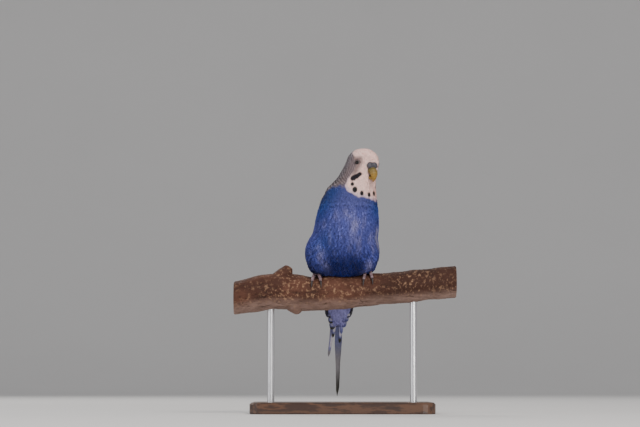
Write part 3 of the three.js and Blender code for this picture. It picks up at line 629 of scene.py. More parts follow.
def lie(p, normal):
    """The way the feathers point at places on the surface."""
    z, angle, around = p[:, 2], angle_of(p), np.abs(head_angle(p))
    below = np.clip(z - 0.6, COAT_END + 0.2, CROWN - 0.3)
    above = np.clip(z + 0.6, COAT_END + 0.4, CROWN - 0.1)
    down = unit(body_point(below, angle) - body_point(above, angle))
    sink = 0.1 + 1.1 * (1 - smooth(z, 60, 73)) + smooth(around, 75, 135) * (1 - smooth(z, 82, 88))
    head = unit(p - BEAK_ROOT) - np.array([0, 0, 1]) * sink[:, None]
    return across_to(mix(down, head, smooth(z, 56, 66)), normal)


def runs_down():
    """How far along the lie each place of a grid over the body is, so that bars can cross the lie."""
    angle = np.linspace(-180, 180, RUN_COLUMNS, endpoint=False)
    p, normal = onto(body_point(*grid(np.linspace(RUN_TOP, RUN_END, RUN_ROWS), angle)), seat=False)
    way = lie(p, normal).reshape(RUN_ROWS, RUN_COLUMNS, 3)
    p = p.reshape(way.shape)
    down = np.sum((p[1:] - p[:-1]) * (way[1:] + way[:-1]) / 2, axis=-1)
    beside = np.sum((np.roll(p, -1, 1) - p) * (way + np.roll(way, -1, 1)) / 2, axis=-1)

    def spread(d, b):
        total = np.roll(b, 1, 1) - b
        total[1:] += d
        total[:-1] -= d
        return total

    # solved by conjugate gradients
    run = np.zeros((RUN_ROWS, RUN_COLUMNS))
    left = spread(down, beside)
    search, size = left.copy(), np.sum(left ** 2)
    for _ in range(420):
        pulled = spread(search[1:] - search[:-1], np.roll(search, -1, 1) - search)
        step = size / np.sum(search * pulled)
        run += step * search
        left -= step * pulled
        fresh = np.sum(left ** 2)
        search = left + search * (fresh / size)
        size = fresh
    return run - run.min()


def run_of(p):
    i = (RUN_TOP - p[:, 2]) / (RUN_TOP - RUN_END) * (RUN_ROWS - 1)
    i = np.clip(i, 0, RUN_ROWS - 1.001)
    j = (angle_of(p) + 180) * RUN_COLUMNS / 360
    i0, j0 = np.floor(i).astype(int), np.floor(j).astype(int)
    j1 = (j0 + 1) % RUN_COLUMNS
    upper, lower = (mix(RUNS[k, j0 % RUN_COLUMNS], RUNS[k, j1], j - j0) for k in (i0, i0 + 1))
    return mix(upper, lower, i - i0)


RUNS = runs_down()


# Distance of the rings of feathers, as a share of the distance in a ring
RING_SHARE = 0.86


def roots_over(levels_from, levels_to, spacing, keep, jitter=0.22):
    """Places for feathers in staggered, slightly disturbed rings down the body."""
    z_fine, turns = np.linspace(levels_from, levels_to, 600), np.linspace(-180, 180, 181)
    run = 0.5 * (steps_of(body_point(z_fine, 0.0)) + steps_of(body_point(z_fine, 180.0)))
    steps = running(run / spacing(z_fine[1:]) / RING_SHARE)
    found = []
    for z in np.interp(np.arange(0.3, steps[-1]), steps, z_fine):
        length = running(steps_of(body_point(z, turns)))
        count = max(3, int(length[-1] / spacing(z)))
        places = (np.arange(count) + rng.random()) / count * length[-1]
        places = (places + rng.normal(0, jitter, count) * spacing(z)) % length[-1]
        angle = np.interp(places, length, turns)
        found.append(body_point(z + rng.normal(0, jitter, count) * spacing(z) * 0.75, angle))
    p, _ = onto(np.concatenate(found), seat=False)
    return p[keep(p)]


def bake_place(p):
    """Where a place of the coat lies on the unwrap of the skin, which keeps a margin of 0.02."""
    return 0.02 + 0.96 * np.stack([(angle_of(p) + 180) / 360, (p[:, 2] + 36) / 126], -1)


EYES = {}
for way in (1, -1):
    at, inner = (body_point(EYE["level"], way * EYE["angle"], height) for height in (0.0, -1.0))
    EYES[way] = (at - unit(at - inner) * EYE["sunk"], unit(at - inner))


# Forward, level and radius of the two places round the bill without feathers
BILL_BARE = [(12.4, 71.6, 3.2), (12.4, 67.4, 2.5)]


def bare(p):
    """Places that carry no feathers: eyes, cere and bill."""
    clear = [(middle, EYE["bare"]) for middle, _ in EYES.values()]
    for left in (1, -1):
        clear.append((head_point(CERE["out"], left * CERE["apart"], CERE["level"]), CERE["bare"]))
    clear += [(head_point(forward, 0, level), size) for forward, level, size in BILL_BARE]
    return np.any([np.linalg.norm(p - middle, axis=1) < size for middle, size in clear], axis=0)


def under_wing(p):
    z, side = p[:, 2], np.abs(angle_of(p))
    inner = (side > at_level("fore_edge", z) + 4) & (side < at_level("aft_edge", z) - 4)
    return inner & (z < WING["top"] - 3) & (z > WING["tip"] + 6)


BODY_RADIUS = 13
FEATHER_PATCH = 0.003


def feathers(name, roots, length, half, rows, columns, height, material, slot, ragged=0.1, sway=8.0,
             cup=0.1, shade=0.3, lightness=0.08, taper=0.35, point=0.55, rim=0.9, loose=0.1, over=None):
    """Vanes that follow the lie of the coat from their roots, with a rounded, ragged tip."""
    count, per = len(roots), rows * columns
    length, half = (np.broadcast_to(v, count).astype(float) for v in (length, half))
    length = length * rng.uniform(0.85, 1.15, count)
    half = half * rng.uniform(0.88, 1.12, count)
    sway = np.radians(rng.normal(0, sway, count))[:, None]
    level, tip = height
    rise = rng.normal(0, loose, count)
    t = np.linspace(0, 1, rows)
    u = np.linspace(-1, 1, columns)
    width = np.sin(np.clip(t * (1 - taper) + taper, 0, 1) * math.pi * 0.5)
    width = width * np.sqrt(np.clip(1 - (t ** 4) * point, 0, 1))
    width[0] = taper
    ends = 1 - 0.3 * np.abs(u)[None] ** 2.2 - ragged * rng.random((count, columns)) * 1.6
    centre, normal = onto(roots, seat=False)
    points = np.zeros((count, rows, columns, 3))
    for i in range(rows):
        way = lie(centre, normal)
        side = np.cross(normal, way)
        way, side = way * np.cos(sway) + side * np.sin(sway), side * np.cos(sway) - way * np.sin(sway)
        sideways = half[:, None] * width[i] * u
        back = (ends - 1) * t[i] * length[:, None]
        lift = (level + (tip - level) * t[i] ** 1.3 + rise * t[i])[:, None]
        lift = lift - cup * u ** 2 * half[:, None] - sideways ** 2 / (2 * BODY_RADIUS)
        for direction, amount in ((side, sideways), (way, back), (normal, lift)):
            points[:, i] += direction[:, None] * amount[..., None]
        points[:, i] += centre[:, None]
        if i < rows - 1:
            centre, normal = onto(centre + way * (length / (rows - 1))[:, None], steps=1, seat=False)
    flat = off_perch(points.reshape(-1, 3), 0.25)
    tone, barred, phase = markings(flat)
    scallop = np.zeros(len(flat))
    if over:
        tone, barred, scallop = over(flat)
    varied = np.repeat(1 + rng.normal(0, lightness, count), per)
    root_shade = np.tile(np.repeat(1 - shade * (1 - t) ** 1.5, columns), count)
    phase = phase + np.repeat(rng.normal(0, 0.08, count), per)
    along, across = grid(t, (u + 1) / 2)
    uv = np.tile(np.stack([across, along], -1), (count, 1))
    bake = np.repeat(bake_place(roots), per, axis=0) + (uv - 0.5) * FEATHER_PATCH
    faces = (grid_faces(rows, columns)[None] + (np.arange(count) * per)[:, None, None]).reshape(-1, 4)
    add_piece(name, flat, faces, material, slot, layers={
        "tone": tone * (varied * root_shade)[:, None], "barred": barred, "scallop": scallop, "phase": phase,
        "rim": np.repeat(1 - rim / length, per), "rim_side": np.repeat(0.5 - 0.25 * rim / half, per),
    }, uvs={"Vane": uv, "OFBake": bake})


# Camera and light

LOOK_UP, DISTANCE, FRAME_WIDTH = 4.0, 1.7, 0.4507
AIM = Vector((-0.0155, 0, 0.1405))
camera_data = bpy.data.cameras.new("camera")
camera_data.sensor_width = 36
camera_data.lens = 36 * DISTANCE / FRAME_WIDTH
camera_data.clip_start = 0.01
camera = bpy.data.objects.new("camera", camera_data)
up = math.radians(LOOK_UP)
camera.location = AIM - DISTANCE * Vector((0, math.cos(up), math.sin(up)))
camera.rotation_euler = (math.pi / 2 + up, 0, 0)
bpy.context.scene.collection.objects.link(camera)
bpy.context.scene.camera = camera


def add_light(name, place, size, energy, colour):
    data = bpy.data.lights.new(name, "AREA")
    data.shape, data.size, data.energy, data.color = "DISK", size, energy, colour
    light = bpy.data.objects.new(name, data)
    light.location = place
    aim = Vector((0, 0, 0.12)) - Vector(place)
    light.rotation_euler = aim.to_track_quat("-Z", "Y").to_euler()
    bpy.context.scene.collection.objects.link(light)


add_light("key", (0.7, -1.5, 1.5), 0.9, 34, (1.0, 0.95, 0.9))
add_light("fill", (-1.5, -1.1, 0.6), 1.4, 12, (0.97, 0.97, 1.0))
add_light("low", (1.0, -1.7, 0.12), 0.5, 10, (1.0, 0.98, 0.96))
add_light("rim", (-0.6, 1.4, 1.3), 0.8, 14, (1.0, 0.98, 0.95))
world = bpy.data.worlds.new("studio")
world.use_nodes = True
world.node_tree.nodes["Background"].inputs[0].default_value = (0.86, 0.87, 0.9, 1)
world.node_tree.nodes["Background"].inputs[1].default_value = 0.55
bpy.context.scene.world = world

FLOOR_WIDE, FLOOR_NEAR, FLOOR_FAR, SWEEP_RADIUS, SWEEP_TOP = 6.0, -6.0, 2.6, 1.6, 5.0


def studio_floor():
    """A pale sweep behind and under the model."""
    n = Nodes("studio_floor")
    colour = n.blend(n.spots(n.place(), 3.0, 4.0), (0.62, 0.61, 0.60), (0.66, 0.65, 0.64))
    line = [(FLOOR_NEAR, 0.0), (FLOOR_FAR, 0.0)]
    for a in np.linspace(0.1, math.pi / 2, 14):
        line.append((FLOOR_FAR + SWEEP_RADIUS * math.sin(a), SWEEP_RADIUS - SWEEP_RADIUS * math.cos(a)))
    line.append((FLOOR_FAR + SWEEP_RADIUS, SWEEP_TOP))
    mesh = bpy.data.meshes.new("studio_floor")
    points = [(x, y, z) for y, z in line for x in (-FLOOR_WIDE, FLOOR_WIDE)]
    mesh.from_pydata(points, [], grid_faces(len(line), 2).tolist())
    mesh.polygons.foreach_set("use_smooth", [True] * len(mesh.polygons))
    mesh.materials.append(n.finish(Base_Color=colour, Roughness=0.75, Specular_IOR_Level=0.2))
    floor = bpy.data.objects.new("studio_floor", mesh)
    bpy.context.scene.collection.objects.link(floor)


studio_floor()


# Skin

SKIN_COLUMNS = 144
FLESH = ("head", "neck", "torso", "rump", "thigh_left", "thigh_right")
PLUMAGE = plumage("plumage")
SOFT = plumage("down", barbs=0.2, gloss=0.75)


def skin_piece():
    """The skin under the feathers, sunk below their roots and clear of the branch."""
    z = CROWN - 0.01 - np.concatenate([np.linspace(0, 1, 14) ** 2 * 8, 8 + np.linspace(0.9, 114.9, 126)])
    zz, aa = grid(z, np.linspace(-180, 180, SKIN_COLUMNS, endpoint=False))
    depth = 0.75 + 0.5 * (1 - smooth(zz, 52, 64))
    p, _ = onto(body_point(zz, aa), -depth, steps=4)
    p = off_perch(p, 0.15)
    tone, barred, phase = markings(p)
    uv = bake_place(p)
    uv[:, 0] = np.tile(np.linspace(0.02, 0.98, SKIN_COLUMNS), len(z))
    plain = np.tile([0.5, 0.0], (len(p), 1))
    faces = grid_faces(len(z), SKIN_COLUMNS, True)
    # painted shade: the skin carries the plumage's markings at three quarters of their brightness, for the
    # dark between the feathers
    add_piece("skin", p, faces, PLUMAGE, "feathers_blue", FLESH, {
        "tone": tone * 0.75, "barred": barred, "scallop": np.zeros(len(p)), "phase": phase,
    }, {"Vane": plain, "OFBake": uv})


skin_piece()


# Coat

def by_level(levels, values):
    return lambda z: np.interp(z, levels, values)


def on_mantle(p):
    reach = np.interp(p[:, 2], [15, 40, 57], [6, 13, 20])
    return (np.abs(angle_of(p)) > at_level("aft_edge", p[:, 2]) - reach) & (p[:, 2] < 58) & (p[:, 2] > 15)


def on_head(p):
    return ~bare(p) & ~under_wing(p)


def on_body(p):
    clear_of_perch = np.linalg.norm(off_perch(p, 0.1) - p, axis=1) < 1e-6
    return ~under_wing(p) & clear_of_perch & ~on_mantle(p)


def parted(name, roots, pieces, length, half, **settings):
    """The same feathers in several pieces, so that none is too large."""
    for k in range(pieces):
        some = roots[k::pieces]
        feathers(f"{name}_{k + 1}", some, length(some[:, 2]), half(some[:, 2]), material=PLUMAGE, **settings)


def scalloped(p):
    """Bars of the nape that widen into dark centres with pale edges down the mantle."""
    share = 1 - smooth(p[:, 2] + 1.5 * noise(p, 2.2, 13), 48, 53)
    return mix(np.broadcast_to(BARRED_PALE, p.shape), COVERT_EDGE, share), 1 - share, share


head_roots = roots_over(CROWN - 0.1, 51, by_level([51, 62], [1.44, 0.78]), on_head, 0.25)
parted("feathers_head", head_roots, 2, by_level([52, 66, 80, 88], [4.4, 3.1, 2.6, 2.6]),
       by_level([52, 66, 88], [1.1, 0.72, 0.62]), rows=6, columns=5, height=(-0.42, 0.06),
       slot="feathers_white", ragged=0.16, sway=7, loose=0.05, shade=0.14, lightness=0.045, cup=0.05)
body_roots = roots_over(52, -33.5, by_level([-34, -14, 20, 52, 60], [2.0, 2.1, 2.3, 1.9, 1.5]), on_body)
parted("feathers_body", body_roots, 2, by_level([-34, -14, 0, 30, 52], [6.5, 8.5, 7.2, 6.8, 5.2]),
       by_level([-34, -20, 20, 52], [1.9, 2.3, 2.2, 1.7]), rows=8, columns=9, height=(-0.8, 0.12),
       slot="feathers_blue", ragged=0.17, sway=7, cup=0.05, loose=0.07, lightness=0.05)
mantle_roots = roots_over(57.5, 15.5, by_level([15, 57], [2.3, 1.65]), on_mantle, 0.07)
parted("feathers_mantle", mantle_roots, 1, by_level([15, 57], [6.6, 4.6]), by_level([15, 57], [1.85, 1.25]),
       rows=10, columns=9, height=(-0.6, 0.55), slot="feathers_barred", ragged=0.03, sway=4,
       cup=0.06, rim=0.75, loose=0.05, over=scalloped)

DOWN = {"columns": 3, "material": SOFT, "ragged": 0.0, "cup": 0, "shade": 0.05, "point": 1.0, "taper": 0.8}
wisp_roots = roots_over(CROWN - 0.8, 50, by_level([0], [0.75]), on_head, 0.45)
feathers("down_head", wisp_roots, 2.2, 0.09, 4, height=(-0.2, 0.2), slot="feathers_white", sway=12,
         lightness=0.07, loose=0.06, **DOWN)
wisp_roots = roots_over(50, -10, by_level([0], [0.95]), on_body, 0.45)
feathers("down_body", wisp_roots, 4.4, 0.13, 5, height=(-0.25, 0.36), slot="feathers_blue", sway=10,
         lightness=0.09, **DOWN)


# Wings and tail: closed thin vanes over the seat of the wing and down the tail's slope

# Hand, arm, greater, median and six lesser rows, from the lowest layer up: number of feathers, places of
# the first and last root and of the first and last tip as [along, across] the wing, their half widths,
# and the height of the row at its roots, at 0.35 of the way and at its tips
WING_ROWS = [
    (9, [[0.40, 0.08], [0.42, 0.76]], [[1.0, 0.24], [0.78, 0.78]], (2.2, 2.5), (0.8, 1.0, 1.05)),
    (9, [[0.30, 0.10], [0.25, 0.84]], [[0.64, 0.12], [0.77, 0.88]], (2.1, 2.9), (0.9, 1.3, 1.6)),
    (12, [[0.23, 0.07], [0.17, 0.90]], [[0.46, 0.06], [0.51, 0.93]], (1.45, 2.0), (1.0, 1.5, 2.0)),
    (12, [[0.17, 0.09], [0.11, 0.88]], [[0.355, 0.06], [0.385, 0.93]], (1.35, 1.85), (1.2, 1.75, 2.25)),
    (12, [[0.12, 0.10], [0.07, 0.86]], [[0.285, 0.06], [0.305, 0.93]], (1.3, 1.75), (1.2, 1.85, 2.35)),
    (11, [[0.08, 0.12], [0.03, 0.84]], [[0.225, 0.07], [0.24, 0.92]], (1.3, 1.7), (1.2, 1.9, 2.4)),
    (11, [[0.04, 0.14], [0.0, 0.82]], [[0.17, 0.08], [0.18, 0.91]], (1.2, 1.6), (1.2, 1.95, 2.45)),
    (10, [[0.0, 0.16], [-0.03, 0.80]], [[0.12, 0.09], [0.125, 0.90]], (1.2, 1.5), (0.9, 1.8, 2.4)),
    (9, [[-0.04, 0.18], [-0.07, 0.78]], [[0.07, 0.11], [0.075, 0.88]], (1.1, 1.4), (0.1, 1.4, 2.3)),
    (8, [[-0.08, 0.2], [-0.1, 0.76]], [[0.025, 0.13], [0.03, 0.86]], (1.0, 1.3), (-0.9, 0.7, 2.1)),
]
HAND_SPRING = 2.7
VANE_TILT, VANE_THICK = 0.3, 0.16
TIP_RIM, SIDE_RIM = 0.85, 0.8
# Level and y down the tail
TAIL_LINE = [[-18, 24.6], [-26, 29.6], [-40, 35.4], [-54, 40.6], [-68, 45.6], [-85, 50]]
TAIL_ROOT = -24.5
# Longest pair to shortest: x and level of the tip on the bird's left and right, half width
TAIL_FEATHERS = [
    ((-2.5, -82.5), (-3.1, -85), 2.2), ((-1.4, -47), (-9.4, -56.7), 2.3), ((-0.2, -40.5), (-6.2, -43), 2.4),
    ((1.4, -36), (-6.9, -37.5), 2.4), ((3.0, -32), (-7.8, -33), 2.4), ((4.4, -29), (-8.8, -29), 2.2),
]
ACROSS = np.array([-1, -0.93, -0.84, -0.5, -0.04, 0.04, 0.5, 0.84, 0.93, 1])


def vane_width(t, blunt):
    """Share of its half width that a feather has along its length."""
    past = ((t - blunt) / (1 - blunt)).clip(0)
    return np.clip(0.45 + t / 0.3 * 0.55, 0, 1) * np.sqrt(np.clip(1 - past ** 2.4, 0, 1))


def pointed_width(t):
    """The same for a long tail feather, which narrows from its middle on."""
    return np.interp(t, [0, 0.36, 0.62, 0.93, 1], [0.62, 1, 0.58, 0.38, 0.05])


def closed_vane(place, half, rows, blunt, tone_at, scallop):
    """One feather as a thin closed form: place(t) gives its midline, its way across and its outward way."""
    t = 1 - (1 - np.linspace(0, 1, rows)) ** 1.25
    middle, across, out = (v[:, None] for v in place(t))
    width = np.maximum(vane_width(t, blunt) if blunt else pointed_width(t), 0.02)[:, None]
    nick = 1 + 0.015 * rng.normal(size=(rows, len(ACROSS))) * (np.abs(ACROSS) > 0.9)
    side = half * width * ACROSS * nick
    crown = 0.10 * half * (1 - ACROSS ** 2) * width + 0.05 * (np.abs(ACROSS) < 0.1)
    lower = middle + across * side[..., None] + out * crown[..., None]
    points = np.concatenate([lower + out * VANE_THICK, lower[:, ::-1]], 1).reshape(-1, 3)
    tt, uu = grid(t, np.concatenate([ACROSS, ACROSS[::-1]]))
    uv = np.stack([(uu + 1) / 2, tt], -1)
    rim, rim_side = 1 - TIP_RIM / np.linalg.norm(middle[-1] - middle[0]), 0.5 - 0.25 * SIDE_RIM / half
    even = {"barred": 0, "scallop": scallop, "phase": 0, "rim": rim, "rim_side": rim_side}
    layers = {name: np.full(len(points), float(value)) for name, value in even.items()}
    layers["tone"] = tone_at(tt, uu)
    uvs = {"Vane": uv, "OFBake": bake_place(points[:1]) + (uv - 0.5) * FEATHER_PATCH}
    return points, grid_faces(rows, 2 * len(ACROSS), True), layers, uvs


def add_vanes(name, made, slot, replaced):
    """Feathers made by closed_vane as one piece."""
    points, faces = joined([vane[:2] for vane in made])
    layers = {key: np.concatenate([vane[2][key] for vane in made]) for key in made[0][2]}
    uvs = {key: np.concatenate([vane[3][key] for vane in made]) for key in made[0][3]}
    add_piece(name, points, faces, PLUMAGE, slot, (replaced,), layers, uvs)


def flight_tone(t, u):
    """Dark vane, paler inwards, with a narrow pale outer edge."""
    c = mix(np.broadcast_to(FLIGHT_DARK, (len(t), 3)), FLIGHT_INNER, smooth(u, 0.1, 0.5) * 0.5)
    return mix(c, FLIGHT_EDGE, smooth(-u, 0.86, 0.94) * smooth(t, 0.05, 0.2) * 0.9)


def wing_point(way, along, across, rise):
    z = mix(WING["top"], WING["tip"], along)
    return body_point(z, way * mix(at_level("fore_edge", z), at_level("aft_edge", z), across), rise)


def wing_feathers(way):
    made = []
    for row, (count, roots, tips, half, heights) in enumerate(WING_ROWS):
        flight = row < 2
        slope = VANE_TILT * (0.8 if flight else 0.55)
        for share in np.arange(count) / (count - 1):
            root = mix(*np.array(roots), share) + rng.normal(0, 0.004, 2)
            tip = mix(*np.array(tips), share) + rng.normal(0, 0.006, 2)
            lift = rng.normal(0, 0.03)
            spring = HAND_SPRING * (1 - share) if row == 0 else 0.0

            def place(t):
                along, across = mix(root[0], tip[0], t), mix(root[1], tip[1], t)
                rise = np.interp(t, [0, 0.35, 1], heights) + lift + spring * t * t
                middle = wing_point(way, along, across, rise)
                down = unit(wing_point(way, along + 0.01, across, rise) - middle)
                fore, aft = (wing_point(way, along, across + move, rise) for move in (-0.02, 0.02))
                level = across_to(aft - fore, down)
                out = np.cross(down, level) * way
                lean = level * math.cos(slope) - out * math.sin(slope)
                return middle, lean, out * math.cos(slope) + level * math.sin(slope)

            varied = 1 + rng.normal(0, 0.06)

            def tone(t, u):
                return (flight_tone(t, u) if flight else np.tile(COVERT_EDGE, (len(t), 1))) * varied

            rows, blunt, scallop = (18, 0.8, 0) if flight else (12, 0.55, 1)
            made.append(closed_vane(place, mix(*half, share), rows, blunt, tone, scallop))
    return made


def tail_tone(rank, way, varied):
    """Grey to blue vanes with dark tips, and pale inner parts that are fainter on the bird's left."""
    much = 0.3 if way > 0 and rank in (2, 3, 4) else 1.0
    tip = TAIL_GREY if rank == 1 and way < 0 else TAIL_TIP

    def tone(t, u):
        if rank == 0:
            c = mix(np.broadcast_to(TAIL_NAVY, (len(t), 3)), TAIL_GREY, smooth(t, 0.3, 0.6))
            return mix(c, TAIL_TIP, smooth(t, 0.62, 0.92)) * varied
        c = np.broadcast_to(TAIL_BLUE, (len(t), 3))
        pale = band(t, 0.42, 0.52, 0.74, 0.84) * smooth(-u, -0.75, 0.1)
        c = mix(c, TAIL_PALE, pale * 0.85 * much)
        dark = np.maximum(smooth(t, 0.78, 0.9), smooth(u, 0.5, 0.9) * 0.8)
        return mix(c, tip, dark * much) * varied
    return tone


def tail_feathers():
    made = []
    for rank, (left, right, half) in enumerate(TAIL_FEATHERS):
        for way, (tip_x, tip_z) in ((1, left), (-1, right)):
            root_x = -2 + way * (0.6 + rank * 0.85)
            layer = 2.5 - 0.44 * (2 * rank + (0 if way > 0 else 1)) * (0.62 if rank else 1)

            def place(t):
                z = TAIL_ROOT + (tip_z - TAIL_ROOT) * t
                x = root_x + (tip_x - root_x) * t * (1.25 - 0.25 * t)
                middle = np.stack([x, curve(TAIL_LINE, 1, z) + layer, z], -1)
                down = unit(np.gradient(middle, axis=0))
                back = across_to(np.array([way * 0.14, 1.0, 0.0]), down)
                return middle, -np.cross(down, back), back

            tone = tail_tone(rank, way, 1 + rng.normal(0, 0.05))
            rows, blunt = 36 if rank < 2 else 20, None if rank < 3 else 0.6
            made.append(closed_vane(place, half, rows, blunt, tone, 0))
    return made


for way, word in ((1, "left"), (-1, "right")):
    add_vanes("wing_feathers_" + word, wing_feathers(way), "wing_feathers", "wing_" + word)
add_vanes("tail_feathers", tail_feathers(), "tail_feathers", "tail")


# Eyes, cere and bill

# Radius and height over the seat of the eye
LID_RINGS = [(1.52, -0.06), (1.58, 0.1), (1.72, 0.18), (1.92, 0.12), (2.14, -0.12), (2.4, -0.6)]
LID_SIDES = 96
NOSTRIL = (2.0, -1.75, 0.62)
CERE_MEETING = 1.5


def skin_material(name, low, high, scale, gloss, strength=0.35, ring=0.0):
    """Bare skin or scutes: two close colours in a fine grain, with ridges across where ring is set."""
    n = Nodes(name)
    height = grain = n.spots(n.place(), scale, 4.0)
    colour = n.blend(n.ramp(grain, 0.3, 0.7), low, high)
    if ring:
        ridge = n.ramp(n.math("PINGPONG", n.attribute("along"), ring), 0.0, ring * 0.5)
        colour = n.blend(n.minus(1.0, ridge), colour, low * 0.45)
        height = n.plus(n.times(grain, 0.3), ridge)
    return n.finish(Base_Color=colour, Roughness=n.ramp(grain, 0.2, 0.8, gloss - 0.06, gloss + 0.1),
                    Normal=n.bump(height, strength, 0.00012))


def eye_material():
    n = Nodes("eye")
    axis = n.attribute("axis")
    iris = n.blend(n.spots(n.place(), 2600.0), rgb(30, 20, 15), rgb(58, 40, 30))
    colour = n.blend(n.ramp(axis, 0.79, 0.82), iris, (0.003, 0.002, 0.002))
    return n.finish(Base_Color=colour, Roughness=n.ramp(axis, 0.6, 0.9, 0.12, 0.05), Specular_IOR_Level=0.3)


def eye_pieces(way, word):
    """An eyeball with a bulging cornea, and the folded rings of its lids."""
    middle, out = EYES[way]
    p, faces = ball(middle, (EYE["radius"],) * 3, 40, 56)
    axis = ((p - middle) @ out) / EYE["radius"]
    p = p + out * (0.08 * smooth(axis, 0.72, 1.0))[:, None]
    add_piece("eye_ball_" + word, p, faces, EYE_MATERIAL, "eye", ("eye_" + word,), {"axis": axis})
    level = unit(np.cross([0, 0, 1.0], out))
    a = np.linspace(0, 2 * math.pi, LID_SIDES, endpoint=False)[:, None]
    rings = []
    for radius, high in LID_RINGS:
        fold = 0.06 * np.sin(a * 17 + radius * 9) + 0.05 * np.sin(a * 31)
        hood = 0.16 * np.clip(np.sin(a), 0, 1) * (radius < 2.2)
        rings.append(middle + out * (EYE["sunk"] + high + fold * 0.7 + hood)
                     + level * (radius + fold * 0.5) * 1.05 * np.cos(a)
                     + np.cross(out, level) * (radius - hood + fold * 0.5) * 0.96 * np.sin(a))
    faces = grid_faces(len(rings), LID_SIDES, True)
    add_piece("lid_" + word, np.concatenate(rings), faces, LID, "cere")


EYE_MATERIAL = eye_material()
LID = skin_material("lid_hide", rgb(62, 50, 52), rgb(100, 84, 84), 2400.0, 0.55)
for way, word in ((1, "left"), (-1, "right")):
    eye_pieces(way, word)


def cere_piece():
    """Two swellings grown together over the bill, each with a nostril."""
    rays, faces = ball((0, 0, 0), (1, 1, 1), 90, 140)
    half = np.array([CERE["wide"] + 0.1, CERE["deep"], CERE["high"] - 0.25])

    def outside(q):
        lobes = (egg(q - [left * (CERE["apart"] - 0.1), 0, 0], half)[0] for left in (1, -1))
        return soft_least(*lobes, CERE_MEETING)[0]

    near, far = np.zeros(len(rays)), np.full(len(rays), 7.0)
    for _ in range(30):
        middle = (near + far) / 2
        inside = outside(rays * middle[:, None]) < 0
        near, far = np.where(inside, middle, near), np.where(inside, far, middle)
    q = rays * near[:, None]
    for left in (1, -1):
        apart = np.linalg.norm((q - np.array(NOSTRIL) * [left, 1, 1]) * [1, 0.6, 1.1], axis=1)
        q[:, 1] += 0.62 * (1 - smooth(apart, 0.22, 0.62)) - 0.08 * np.exp(-((apart - 0.85) / 0.25) ** 2)
    q[:, 2] -= 0.35 * smooth(np.abs(q[:, 0]), 2.5, 5.0)
    middle = head_point(CERE["out"] - 0.15, 0, CERE["level"] + 0.1)
    add_piece("cere_skin", q @ about_z(-HEAD_TURN) + middle, faces, CERE_MATERIAL, "cere", ("cere",))


CERE_MATERIAL = skin_material("cere_hide", rgb(48, 48, 56), rgb(80, 77, 84), 1500.0, 0.5)
cere_piece()

# Forward, level, half width, half depth; the last is the tip
UPPER_BILL = [
    (10.4, 72.0, 2.8, 2.2), (12.5, 71.7, 3.1, 2.6), (13.9, 70.5, 3.05, 2.5), (14.6, 68.8, 2.7, 2.1),
    (14.7, 67.1, 2.1, 1.55), (14.3, 65.5, 1.4, 1.0), (13.8, 64.4, 0.8, 0.6), (13.4, 63.6, 0.12, 0.1),
]
LOWER_BILL = [
    (9.4, 67.4, 2.2, 1.6), (11.0, 67.0, 2.3, 1.6), (12.2, 66.5, 2.1, 1.4), (13.0, 66.0, 1.5, 1.0),
    (13.6, 65.6, 0.2, 0.15),
]
BILL_ROWS, BILL_SIDES = 64, 40


def bill_material():
    """Horn, darker and greener at its root, with growth lines across."""
    n = Nodes("bill_horn")
    along = n.attribute("along")
    grain = n.spots(n.place(), 420.0, 4.0)
    growth = n.math("SINE", n.plus(n.times(along, 58.0), n.times(grain, 9.0)))
    colour = n.blend(n.ramp(along, 0.1, 0.6), rgb(84, 76, 40), rgb(142, 108, 34))
    colour = n.blend(n.ramp(along, 0.62, 0.97), colour, rgb(150, 114, 76))
    colour = n.blend(n.ramp(grain, 0.45, 0.75, 0.0, 0.45), colour, rgb(100, 82, 36))
    colour = n.blend(n.ramp(growth, 0.2, 1.0, 0.0, 0.16), colour, rgb(190, 168, 110))
    return n.finish(Base_Color=colour, Roughness=n.ramp(grain, 0.3, 0.7, 0.42, 0.56),
                    Specular_IOR_Level=0.35, Normal=n.bump(growth, 0.12, 0.00008))


BILL_MATERIAL = bill_material()
for part, profile in (("upper", UPPER_BILL), ("lower", LOWER_BILL)):
    rows = [[i, *row] for i, row in enumerate(profile)]
    t = np.linspace(0, len(rows) - 1, BILL_ROWS)
    forward, level, wide, deep = (curve(rows, k, t) for k in (1, 2, 3, 4))
    path = np.array([head_point(f, 0, z) for f, z in zip(forward, level)])
    to_left = head_point(0, 1, 0) - head_point(0, 0, 0)
    points, faces = tube(path, np.maximum(wide, 0.05), np.maximum(deep, 0.05), to_left, BILL_SIDES)
    along = np.repeat(t / t[-1], BILL_SIDES)
    add_piece(f"bill_{part}_horn", points, faces, BILL_MATERIAL, "bill", ["bill_" + part], {"along": along})


# Feet

FOOT_SKIN = skin_material("foot_scutes", rgb(104, 84, 88), rgb(150, 124, 128), 1400.0, 0.5, 0.5, ring=0.55)
CLAW_MATERIAL = skin_material("claw_horn", rgb(30, 25, 27), rgb(54, 45, 45), 900.0, 0.5, 0.1)
TOE_SIZES = [v * TOE_RADIUS for v in (0.9, 1.06, 0.92, 1.02, 0.86, 0.94, 0.72)]
CLAW_SIZES = [0.5, 0.62, 0.55, 0.42, 0.26, 0.06]
TOE_ANGLES, CLAW_ANGLES = (12, 52.5), (51.5, 76)
PAD_HALF = (2.4, 2.7, 1.4)
LEG_HALF, LEG_SPAN, LEG_LEAN = (1.42, 1.5), 6.3, (0.25, 1.25)
ALONG_BRANCH = np.array([1.0, 0, 0])


